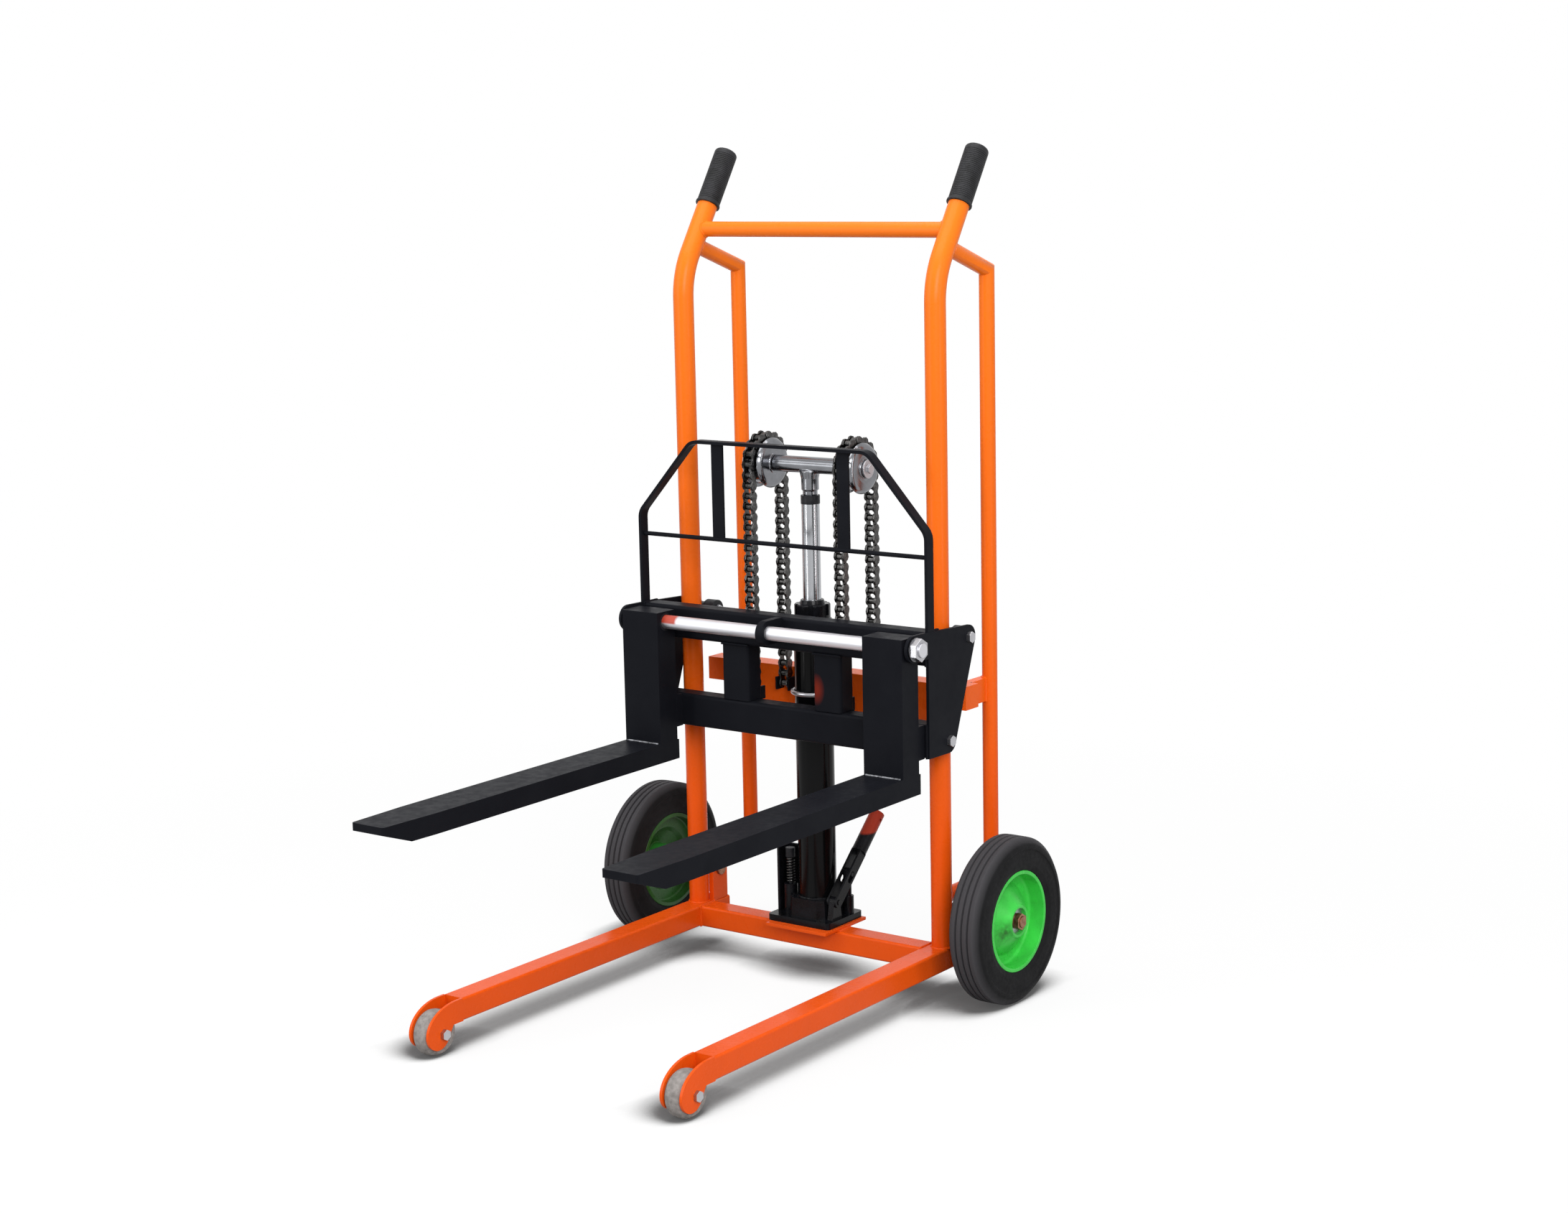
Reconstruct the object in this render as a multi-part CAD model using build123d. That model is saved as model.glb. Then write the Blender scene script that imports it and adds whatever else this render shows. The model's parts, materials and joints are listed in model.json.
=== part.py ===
from build123d import *
from math import atan2, cos, degrees, hypot, pi, radians, sin, sqrt, tan
import os

# Hand-pushed hydraulic lift truck: a tube mast on two big wheels, two low legs with front rollers,
# and a jack that lifts a fork carriage through two roller chains.
# Millimetres. X runs across the truck, -Y points forward along the forks, +Z is up and the floor is Z = 0.
# Sizes are laid out from the uprights' axis (Y = 0). The finished pieces then move along Y, so that the
# origin lies on the floor in the middle of the footprint.

# Base frame
leg_inset = 4.0
leg_width = 45.0
leg_height = 40.0
leg_wall = 3.0
leg_corner = 4.5
leg_underside = 50.0
leg_tail = 60.0
leg_end_plate = 4.0
base_bar_depth = 45.0
base_bar_centre = -8.5
seat_width = 136.0
seat_depth = 130.0
seat_thickness = 6.0
seat_shift = -8.0

# Front rollers
front_roller_radius = 40.0
front_roller_crown = 2.0
front_roller_edge = 5.0
front_roller_reach = 739.0
front_roller_lead = 9.0
front_bush_radius = 9.0
front_bolt_radius = 5.0
front_bolt_flats = 17.0
front_head_height = 6.5
front_nut_height = 8.0
cheek_thickness = 5.0
cheek_nose = 38.2
cheek_brow_lead = 14.0
cheek_lobe_radius = 26.6
cheek_lobe_rise = 1.6
cheek_lobe_sweep = 165.0
cheek_heel_lead = 24.0

# Mast
upright_spacing = 552.0
upright_radius = 19.0
upright_wall = 3.0
bend_height = 1281.0
bend_tilt = 33.0
bend_radius = 150.0
handle_run = 255.0
handle_bar_run = 95.0
handle_bar_radius = 14.0
handle_bar_wall = 2.5
grip_length = 115.0
grip_wall = 2.5
grip_cap = 5.0
grip_collar = 1.5
grip_collar_length = 5.0
strut_radius = 14.0
strut_wall = 2.5
strut_offset = 168.0
strut_top_rise = 6.0
strut_bottom = 180.0
strut_link_run = 63.0

# Tie channel between the rear struts
tie_end_reach = 14.0
tie_height = 74.0
tie_bottom = 479.0
tie_depth = 42.0
tie_wall = 4.0
tie_end_height = 43.0
tie_step_inset = 55.0
tie_link_width = 18.0

# Wheels and axles
wheel_standoff = 96.5
wheel_offset = 32.0
tyre_radius = 150.0
tyre_width = 65.0
tyre_shoulder = 11.0
tread_half_width = 20.0
tread_groove_width = 5.0
tread_groove_depth = 4.0
tread_groove_pitch = 12.0
rim_seat_radius = 88.0
rim_barrel_wall = 4.0
rim_half_width = 28.0
rim_lip_height = 3.0
rim_lip_thickness = 3.0
rim_disc_thickness = 6.0
rim_disc_hub_place = 14.0
rim_disc_barrel_place = -5.0
hub_wall = 4.0
hub_inner_end = 30.0
hub_outer_end = 28.0
bearing_radius = 23.5
bearing_width = 14.0
bearing_recess = 8.0
bearing_shield_depth = 1.0
bearing_ring_wall = 4.0
axle_radius = 12.0
axle_journal_radius = 10.0
axle_inner_end = 5.5
axle_end_stand = 2.0
axle_washer_radius = 14.0
axle_washer_thickness = 2.5
axle_nut_flats = 27.0
axle_nut_height = 11.0
axle_plate_depth = 44.0
axle_plate_margin = 35.0
axle_plate_corner = 8.0
inner_axle_plate = 10.0
outer_axle_plate = 8.0
outer_axle_plate_lift = 2.0

# Jack
jack_offset = 5.0
flange_width = 138.0
flange_shift = -7.0
flange_depth = 112.0
flange_thickness = 12.0
flange_corner = 8.0
casting_width = 80.0
casting_depth = 92.0
casting_height = 35.0
casting_chamfer = 12.0
casting_taper = 4.0
cylinder_radius = 35.0
cylinder_wall = 5.0
cylinder_length = 519.0
gland_radius = 33.0
gland_height = 28.0
gland_spigot = 20.0
gland_chamfer = 2.0
gland_notch_count = 6
gland_notch_width = 9.0
gland_notch_depth = 4.0
gland_notch_rise = 8.0
wiper_radius = 23.0
wiper_height = 7.0
ram_radius = 16.5
ram_length = 544.0
piston_height = 25.0
stop_ring_height = 16.0
stop_ring_radius = 17.5
stop_ring_seat = 14.0
yoke_stud_radius = 9.0
yoke_stud_length = 34.0
yoke_neck_radius = 13.5
yoke_neck_height = 9.0
yoke_stem_radius = 16.0
yoke_stem_height = 30.0
yoke_flare_radius = 19.0
yoke_bar_radius = 15.0
saddle_half_width = 25.0
saddle_height = 30.0
clamp_rise = 48.0
clamp_rod_radius = 4.0
clamp_tail = 15.0
clamp_nut_flats = 13.0
clamp_nut_height = 7.0

# Pump lever, plunger and release stem
lug_thickness = 11.6
lug_radius = 9.5
lug_foot = 30.0
lever_pivot_offset = -18.0
lever_pivot_rise = 32.0
lever_pin_radius = 5.0
lever_pin_head = 1.5
lever_angle = 43.5
lever_stroke = 20.0
lever_plate = 4.0
lever_half_height = 10.5
lever_length = 198.0
socket_length = 88.0
socket_floor = 14.0
socket_radius = 14.0
socket_bore = 11.0
socket_cross_hole = 3.0
socket_cross_inset = 14.0
plunger_offset = 27.0
plunger_radius = 6.0
plunger_engagement = 18.0
plunger_well_slack = 0.9
plunger_head_half_depth = 8.0
plunger_head_above_pin = 9.0
plunger_head_below_pin = 15.0
plunger_pin_radius = 4.0
plunger_slot_slack = 1.6
barrel_radius = 9.9
barrel_height = 34.0
release_side = 52.0
release_offset = -13.0
release_boss_radius = 13.0
release_boss_height = 52.0
release_web = 8.0
release_stem_radius = 4.0
release_stem_depth = 30.0
release_spring_inner = 5.5
release_spring_outer = 8.5
release_spring_length = 50.0
release_knob_radius = 9.0
release_knob_height = 18.0
bracket_wall = 5.0
bracket_side_reach = 17.0
bracket_front_reach = 12.0
bracket_back_reach = 14.0
bracket_height = 124.0
bracket_casting_gap = 2.0

# Chains and pulleys
chain_pitch = 19.05
chain_plate_half_height = 9.05
chain_waist = 6.0
chain_inner_half_width = 6.3
chain_plate_pack = 5.0
chain_roller_radius = 5.95
wrap_pitches = 8
run_pitches = 22
pulley_spacing = 200.0
pulley_flange_inner = 13.6
pulley_flange_outer = 16.0
pulley_flange_radius = 46.0
pulley_half_width = 25.0
pulley_boss_radius = 27.0
pulley_journal_radius = 10.0
pulley_cap_radius = 17.0
pulley_cap_thickness = 4.0
pulley_screw_flats = 15.0
pulley_screw_height = 5.0
rear_anchor_rise = 44.0
rear_standoff = 11.2
front_anchor_rise = 66.0
front_standoff = 13.2
anchor_cheek = 4.0
anchor_half_height = 12.0
anchor_pin_radius = 3.0

# Carriage, measured from the underside of its lower crossbar
crossbar_height = 60.0
crossbar_depth = 40.0
crossbar_wall = 4.0
crossbar_corner = 6.0
upper_bar_rise = 163.0
post_width = 60.0
post_spacing = 204.0
side_plate = 6.0
plate_top_rise = 224.0
guide_offset = 33.0
guide_upper_rise = 195.0
guide_lower_rise = 21.0
guide_corner_radius = 22.0
guide_length = 70.0
guide_radius = 19.0
guide_bolt_radius = 6.0
guide_head_flats = 18.0
guide_head_height = 8.0
guide_nut_height = 6.6
guide_bolt_tail = 2.0
shaft_rise = 201.0
shaft_lead = 43.0
shaft_radius = 12.5
shaft_ear_radius = 24.0
shaft_washer_radius = 21.0
shaft_washer_thickness = 3.0
shaft_nut_flats = 36.0
shaft_nut_height = 12.0
shaft_tail = 3.0
centre_ear_width = 14.0
centre_ear_radius = 22.0

# Backrest
backrest_strip = 6.0
backrest_depth = 20.0
backrest_setback = -1.0
backrest_shoulder_rise = 393.0
backrest_top_rise = 528.0
backrest_top_half_width = 193.0
backrest_bend = 30.0
backrest_rod_radius = 4.0
backrest_rod_rise = 352.0
backrest_bar_width = 25.0
backrest_bar_thickness = 5.0
backrest_bar_spacing = 276.0

# Forks
fork_side_gap = 4.0
fork_width = 82.0
fork_wall = 6.0
shank_depth = 50.0
shank_above_shaft = 19.0
shank_below_shaft = 225.0
shank_hollow_below_shaft = 33.0
blade_height = 36.0
blade_heel = 4.5
fork_reach = 738.0
tip_height = 13.5
tip_width = 72.0
tip_taper_length = 63.0
tip_narrowing_length = 120.0
tip_corner = 5.0
pad_height = 60.0
bush_wall = 4.0

# Clearances
running_fit = 0.05
side_gap = 0.5
guide_gap = 0.3
guide_side_gap = 1.0
guide_nut_gap = 0.4
heel_gap = 0.3
chain_gap = 0.45
chain_joint_gap = 0.4
lever_side_gap = 0.6
barrel_gap = 0.1

# Places worked out from the sizes above
upright_x = upright_spacing / 2
leg_x = upright_x - leg_inset
leg_top = leg_underside + leg_height
leg_inner = leg_x - leg_width / 2
leg_outer = leg_x + leg_width / 2
leg_reach = front_roller_reach - front_roller_radius - front_roller_lead
front_roller_width = leg_width - 2 * (cheek_thickness + side_gap)
cheek_reach = front_roller_reach + cheek_nose
cheek_brow_reach = leg_reach + cheek_brow_lead
cheek_heel_reach = leg_reach + cheek_heel_lead
strut_top = bend_height + strut_top_rise
grip_start = handle_run + grip_cap - grip_length
seat_top = leg_top + seat_thickness
flange_top = seat_top + flange_thickness
casting_top = flange_top + casting_height
cylinder_top = casting_top + cylinder_length

chain_radius = chain_pitch / (2 * sin(pi / (2 * wrap_pitches)))
front_run_y = jack_offset - chain_radius
rear_run_y = jack_offset + chain_radius
anchor_z = tie_bottom + rear_anchor_rise
yoke_z = anchor_z + run_pitches * chain_pitch
pulley_x = pulley_spacing / 2
pulley_groove = chain_radius - chain_plate_half_height - chain_gap
yoke_shoulder = pulley_x - pulley_half_width - side_gap
pulley_end = pulley_x + pulley_half_width + side_gap
stem_foot = yoke_z - yoke_bar_radius - yoke_stem_height
ring_top = stem_foot - yoke_neck_height
ram_top = ring_top - stop_ring_height
ram_foot = ram_top - ram_length

tie_front = rear_run_y + rear_standoff
tie_rear = tie_front + tie_depth
tie_top = tie_bottom + tie_height
clamp_z = tie_bottom + clamp_rise
clamp_radius = cylinder_radius + clamp_rod_radius

carriage_base = anchor_z - front_anchor_rise
carriage_rear = front_run_y - front_standoff
carriage_front = carriage_rear - crossbar_depth
lower_bar_top = carriage_base + crossbar_height
upper_bar_bottom = carriage_base + upper_bar_rise
plate_top = carriage_base + plate_top_rise
plate_inner = upright_x + guide_length / 2 + guide_side_gap
plate_outer = plate_inner + side_plate
guide_inner = upright_x - guide_length / 2
guide_places = {"upper": (guide_offset, carriage_base + guide_upper_rise),
                "lower": (-guide_offset, carriage_base + guide_lower_rise)}
shaft_y = carriage_front - shaft_lead
shaft_z = carriage_base + shaft_rise
shaft_end = plate_outer + shaft_washer_thickness + shaft_nut_height + shaft_tail

fork_x = plate_inner - fork_side_gap - fork_width / 2
shank_front = shaft_y - shank_depth / 2
shank_rear = shaft_y + shank_depth / 2
blade_top = shaft_z - shank_below_shaft
blade_bottom = blade_top - blade_height
fork_tip = shaft_y - fork_reach
bush_radius = shaft_radius + running_fit + bush_wall

wheel_x = leg_outer + wheel_standoff
axle_plate_top = tyre_radius + axle_plate_margin
outer_axle_plate_bottom = leg_underside + outer_axle_plate_lift
hub_bore = bearing_radius
hub_radius = bearing_radius + hub_wall
bearing_outer_end = hub_outer_end - bearing_recess
axle_shoulder = wheel_x - hub_inner_end - side_gap
axle_washer_place = wheel_x + bearing_outer_end + side_gap
axle_nut_place = axle_washer_place + axle_washer_thickness
axle_end = axle_nut_place + axle_nut_height + axle_end_stand

pump_side = casting_width / 2 + barrel_gap + barrel_radius
pivot_y = jack_offset + lever_pivot_offset
pivot_z = flange_top + lever_pivot_rise
plunger_y = jack_offset + plunger_offset
pin_arm = plunger_y - pivot_y
plunger_pin_z = pivot_z + pin_arm * tan(radians(lever_angle))
plunger_stroke = pin_arm * (tan(radians(lever_angle)) - tan(radians(lever_angle - lever_stroke)))
plunger_well = plunger_stroke + plunger_engagement - barrel_height + plunger_well_slack
barrel_top = flange_top + barrel_height
lever_inner_half = lug_thickness / 2 + lever_side_gap
lever_outer_half = lever_inner_half + lever_plate
release_y = jack_offset + release_offset
boss_top = flange_top + release_boss_height
knob_bottom = boss_top + release_spring_length

nodes = {}


def add(name, *pieces):
    """Collect the solids of one named sub-part."""
    solids = nodes.setdefault(name, [])
    for piece in pieces:
        solids.extend(piece.solids())


def other_side(piece):
    """The same piece on the left of the truck."""
    return mirror(piece, about=Plane.YZ)


def add_pair(name, *pieces):
    """Collect pieces that come once on each side."""
    for piece in pieces:
        add(name, piece, other_side(piece))


def block(x0, x1, y0, y1, z0, z1):
    """Rectangular solid between two corners."""
    return Pos((x0 + x1) / 2, (y0 + y1) / 2, (z0 + z1) / 2) * Box(x1 - x0, y1 - y0, z1 - z0)


def along(start, end, outline):
    """Extrude an outline from one point to another, square to the line between them."""
    run = Vector(*end) - Vector(*start)
    return extrude(Plane(origin=start, z_dir=run) * outline, amount=run.length)


def rod(start, end, radius):
    return along(start, end, Circle(radius))


def tube(start, end, radius, wall):
    return along(start, end, Circle(radius) - Circle(radius - wall))


def hexagon(start, end, flats, bore=0.0):
    """Hexagon bar, such as a bolt head or a nut with its bore."""
    outline = RegularPolygon(flats / 2, 6, major_radius=False)
    if bore > 0:
        outline -= Circle(bore)
    return along(start, end, outline)


def box_tube(start, end, across, width, depth, wall, corner):
    """Straight rectangular tube whose width lies along the given direction."""
    run = Vector(*end) - Vector(*start)
    outer = RectangleRounded(width, depth, corner)
    inner = RectangleRounded(width - 2 * wall, depth - 2 * wall, max(corner - wall, wall / 4))
    return extrude(Plane(origin=start, x_dir=across, z_dir=run) * (outer - inner), amount=run.length)


def sheet(outline, x0, x1):
    """Plate of a (y, z) outline between two planes across X."""
    return extrude(Plane.YZ.offset(x0) * outline, amount=x1 - x0)


def turned(points, x=0.0, y=0.0, z=0.0):
    """Solid of revolution about an axis along X, from (x, radius) points."""
    outline = make_face(Polyline(*points, close=True))
    return Pos(x, y, z) * revolve(outline, Axis.X)


def turned_upright(points, x=0.0, y=0.0):
    """Solid of revolution about a vertical axis, from (radius, z) points."""
    outline = make_face(Polyline(*[(radius, 0, z) for radius, z in points], close=True))
    return Pos(x, y, 0) * revolve(outline, Axis.Z)


def hull(*outlines):
    """Convex outline round circles and lines."""
    return make_hull([edge for outline in outlines for edge in outline.edges()])


def tilted(run):
    """Point on the right-hand upright's tilted axis, counted from its bend."""
    lean = radians(bend_tilt)
    return (upright_x, run * sin(lean), bend_height + run * cos(lean))


def upright_core(radius):
    """Solid bar along the bent axis of the right-hand upright."""
    axis = FilletPolyline((upright_x, 0, leg_top), (upright_x, 0, bend_height), tilted(handle_run),
                          radius=bend_radius)
    return sweep(Plane(origin=(upright_x, 0, leg_top)) * Circle(radius), path=axis)


def strut_core(radius):
    """Solid mitred bar along the right-hand rear strut and its two links."""
    axis = Polyline((upright_x, 0, strut_bottom), (upright_x, strut_offset, strut_bottom),
                    (upright_x, strut_offset, strut_top), tilted(strut_link_run))
    start = Plane(origin=(upright_x, 0, strut_bottom), z_dir=(0, 1, 0))
    return sweep(start * Circle(radius), path=axis, transition=Transition.RIGHT)


def make_legs():
    """Two box-tube legs, each ending in a pair of cheek plates for a front roller."""
    middle = leg_underside + leg_height / 2
    leg = box_tube((leg_x, leg_tail, middle), (leg_x, -leg_reach, middle), (1, 0, 0),
                   leg_width, leg_height, leg_wall, leg_corner)
    end = Plane(origin=(leg_x, -leg_reach, middle), x_dir=(1, 0, 0), z_dir=(0, 1, 0))
    leg += extrude(end * RectangleRounded(leg_width, leg_height, leg_corner), amount=leg_end_plate)
    lobe_z = front_roller_radius + cheek_lobe_rise
    top = Line((-leg_reach, leg_top), (-cheek_brow_reach, leg_top))
    brow = EllipticalCenterArc((-cheek_brow_reach, lobe_z), cheek_reach - cheek_brow_reach,
                               leg_top - lobe_z, start_angle=90, arc_size=90)
    lobe = CenterArc((cheek_lobe_radius - cheek_reach, lobe_z), cheek_lobe_radius, 180, cheek_lobe_sweep)
    heel = Polyline(lobe @ 1, (-cheek_heel_reach, leg_underside), (-leg_reach, leg_underside),
                    (-leg_reach, leg_top))
    outline = make_face([top, brow, lobe, heel])
    hole = rod((leg_inner, -front_roller_reach, front_roller_radius),
               (leg_outer, -front_roller_reach, front_roller_radius), front_bolt_radius)
    for inner in (leg_inner, leg_outer - cheek_thickness):
        leg += sheet(outline, inner, inner + cheek_thickness)
    add_pair("base_legs", leg - hole)


def make_base_bar():
    """Crossbar between the legs, with the seat plate of the jack on it."""
    middle = leg_underside + leg_height / 2
    bar = box_tube((-leg_inner, base_bar_centre, middle), (leg_inner, base_bar_centre, middle), (0, 1, 0),
                   base_bar_depth, leg_height, leg_wall, leg_corner)
    add("base_crossbar", bar)
    seat_y = jack_offset + seat_shift
    add("jack_seat_plate", block(-seat_width / 2, seat_width / 2, seat_y - seat_depth / 2,
                                 seat_y + seat_depth / 2, leg_top, seat_top))


def make_front_roller(name, side):
    """Crowned roller on a steel bush, free on its bolt."""
    half = front_roller_width / 2
    rim = front_roller_radius - front_roller_crown
    roller = turned([(-half, front_bush_radius), (-half, rim - front_roller_edge),
                     (front_roller_edge - half, rim), (0, front_roller_radius),
                     (half - front_roller_edge, rim), (half, rim - front_roller_edge),
                     (half, front_bush_radius)], leg_x, -front_roller_reach, front_roller_radius)
    bush = turned([(-half, front_bolt_radius + running_fit), (-half, front_bush_radius),
                   (half, front_bush_radius), (half, front_bolt_radius + running_fit)],
                  leg_x, -front_roller_reach, front_roller_radius)
    add(name, side(roller), side(bush))


def make_roller_bolts():
    """Bolt and nut through each pair of cheek plates."""
    def at(x):
        return (x, -front_roller_reach, front_roller_radius)
    bolt = rod(at(leg_inner - front_nut_height), at(leg_outer), front_bolt_radius)
    bolt += hexagon(at(leg_outer), at(leg_outer + front_head_height), front_bolt_flats)
    nut = hexagon(at(leg_inner - front_nut_height), at(leg_inner), front_bolt_flats, front_bolt_radius)
    add_pair("roller_bolts", bolt, nut)


def make_mast():
    """Bent uprights with grips, handle crossbar, rear struts with their links."""
    core = upright_core(upright_radius)
    add_pair("uprights", core - upright_core(upright_radius - upright_wall))
    _, bar_y, bar_z = tilted(handle_bar_run)
    bar = tube((-upright_x, bar_y, bar_z), (upright_x, bar_y, bar_z), handle_bar_radius, handle_bar_wall)
    add("handle_crossbar", bar - core - other_side(core))
    strut = strut_core(strut_radius) - strut_core(strut_radius - strut_wall) - core
    add_pair("rear_struts", strut)
    grip_radius = upright_radius + grip_wall
    grip = rod(tilted(grip_start), tilted(grip_start + grip_length), grip_radius)
    grip += rod(tilted(grip_start), tilted(grip_start + grip_collar_length), grip_radius + grip_collar)
    add_pair("hand_grips", grip - rod(tilted(grip_start), tilted(handle_run), upright_radius))


def make_tie():
    """Inverted channel, deeper in the middle, with a link from each closed end to the strut."""
    half = upright_x + tie_end_reach
    step = half - tie_step_inset
    end_bottom = tie_top - tie_end_height
    tie = block(-half, half, tie_front, tie_rear, end_bottom, tie_top)
    tie += block(-step, step, tie_front, tie_rear, tie_bottom, end_bottom)
    tie -= block(tie_wall - half, half - tie_wall, tie_front + tie_wall, tie_rear - tie_wall,
                 tie_bottom, tie_top - tie_wall)
    for x in (-clamp_radius, clamp_radius):
        tie -= rod((x, tie_front, clamp_z), (x, tie_front + tie_wall, clamp_z), clamp_rod_radius)
    link = block(upright_x - tie_link_width, upright_x, tie_rear, strut_offset, end_bottom, tie_top)
    link -= rod((upright_x, strut_offset, end_bottom), (upright_x, strut_offset, tie_top), strut_radius)
    add("mast_tie_channel", tie + link + other_side(link))


def make_axles():
    """Axle plates on the legs, stub axles, washers and nuts."""
    def at(x):
        return (x, wheel_offset, tyre_radius)
    front = wheel_offset - axle_plate_depth / 2
    rear = wheel_offset + axle_plate_depth / 2
    hole = rod(at(leg_inner), at(leg_outer + outer_axle_plate), axle_radius)
    plates = [block(leg_inner, leg_inner + inner_axle_plate, front, rear, leg_top, axle_plate_top),
              block(leg_outer, leg_outer + outer_axle_plate, front, rear, outer_axle_plate_bottom,
                    axle_plate_top)]
    for plate in plates:
        top_edges = plate.edges().filter_by(Axis.X).group_by(Axis.Z)[-1]
        add_pair("axle_plates", fillet(top_edges, axle_plate_corner) - hole)
    axle = rod(at(leg_inner - axle_inner_end), at(axle_shoulder), axle_radius)
    axle += rod(at(axle_shoulder), at(axle_end), axle_journal_radius)
    add_pair("stub_axles", axle)
    washer = tube(at(axle_washer_place), at(axle_nut_place), axle_washer_radius,
                  axle_washer_radius - axle_journal_radius)
    nut = hexagon(at(axle_nut_place), at(axle_nut_place + axle_nut_height), axle_nut_flats,
                  axle_journal_radius)
    add_pair("axle_nuts", washer, nut)


def make_wheel(label, side):
    """Ribbed tyre on a dished rim with two ball bearings in its hub."""
    seat_half = rim_half_width - rim_lip_thickness
    lip = rim_seat_radius + rim_lip_height
    half = tyre_width / 2
    wall_low = lip + tyre_shoulder
    wall_high = tyre_radius - tyre_shoulder
    right = [(seat_half, rim_seat_radius), (seat_half, lip + side_gap), (rim_half_width, lip + side_gap),
             (half, wall_low), (half, wall_high), (tread_half_width, tyre_radius)]
    left = [(-x, radius) for x, radius in reversed(right)]
    tyre = turned(right + left, wheel_x, wheel_offset, tyre_radius)
    floor = tyre_radius - tread_groove_depth
    for place in (-tread_groove_pitch, 0, tread_groove_pitch):
        start = place - tread_groove_width / 2
        end = place + tread_groove_width / 2
        tyre -= turned([(start, floor), (start, tyre_radius + tread_groove_depth),
                        (end, tyre_radius + tread_groove_depth), (end, floor)],
                       wheel_x, wheel_offset, tyre_radius)
    add("tyre_" + label, side(tyre))

    barrel = rim_seat_radius - rim_barrel_wall
    step = rim_disc_thickness / 2
    rim = turned([(-hub_inner_end, hub_bore), (-hub_inner_end, hub_radius),
                  (rim_disc_hub_place - step, hub_radius), (rim_disc_barrel_place - step, barrel),
                  (-rim_half_width, barrel), (-rim_half_width, lip), (-seat_half, lip),
                  (-seat_half, rim_seat_radius), (seat_half, rim_seat_radius), (seat_half, lip),
                  (rim_half_width, lip), (rim_half_width, barrel), (rim_disc_barrel_place + step, barrel),
                  (rim_disc_hub_place + step, hub_radius), (hub_outer_end, hub_radius),
                  (hub_outer_end, hub_bore)], wheel_x, wheel_offset, tyre_radius)
    add("rim_" + label, side(rim))

    bore = axle_journal_radius + running_fit
    inner_ring = bore + bearing_ring_wall
    outer_ring = bearing_radius - bearing_ring_wall
    for outer_face in (bearing_width - hub_inner_end, bearing_outer_end):
        inner_face = outer_face - bearing_width
        bearing = turned([(inner_face, bore), (inner_face, inner_ring),
                          (inner_face + bearing_shield_depth, inner_ring),
                          (inner_face + bearing_shield_depth, outer_ring), (inner_face, outer_ring),
                          (inner_face, bearing_radius), (outer_face, bearing_radius),
                          (outer_face, outer_ring), (outer_face - bearing_shield_depth, outer_ring),
                          (outer_face - bearing_shield_depth, inner_ring), (outer_face, inner_ring),
                          (outer_face, bore)], wheel_x, wheel_offset, tyre_radius)
        add("wheel_bearings_" + label, side(bearing))


def make_jack_base():
    """Cast base: flange, tapered body, lug for the pump lever and boss for the release stem."""
    floor = Plane(origin=(0, jack_offset, seat_top))
    flange = RectangleRounded(flange_width, flange_depth, flange_corner)
    base = extrude(floor * Pos(flange_shift, 0) * flange, amount=flange_thickness)
    outline = Rectangle(casting_width, casting_depth)
    outline = chamfer(outline.vertices(), casting_chamfer)
    base += extrude(floor.offset(flange_thickness) * outline, amount=casting_height, taper=casting_taper)

    lug_outline = hull(Pos(pivot_y, pivot_z) * Circle(lug_radius),
                       Line((pivot_y - lug_foot / 2, flange_top), (pivot_y + lug_foot / 2, flange_top)))
    lug_inner = pump_side - lug_thickness / 2
    base += sheet(lug_outline, lug_inner, lug_inner + lug_thickness)
    base -= rod((lug_inner, pivot_y, pivot_z), (lug_inner + lug_thickness, pivot_y, pivot_z),
                lever_pin_radius)
    base -= rod((pump_side, plunger_y, flange_top - plunger_well), (pump_side, plunger_y, flange_top),
                plunger_radius + running_fit)

    boss = rod((-release_side, release_y, flange_top), (-release_side, release_y, boss_top),
               release_boss_radius)
    boss += block(-release_side, -casting_width / 4, release_y - release_web, release_y + release_web,
                  flange_top, casting_top)
    bore = rod((-release_side, release_y, boss_top - release_stem_depth - release_web),
               (-release_side, release_y, boss_top), release_stem_radius + running_fit)
    add("jack_base", base + boss - bore)


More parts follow.
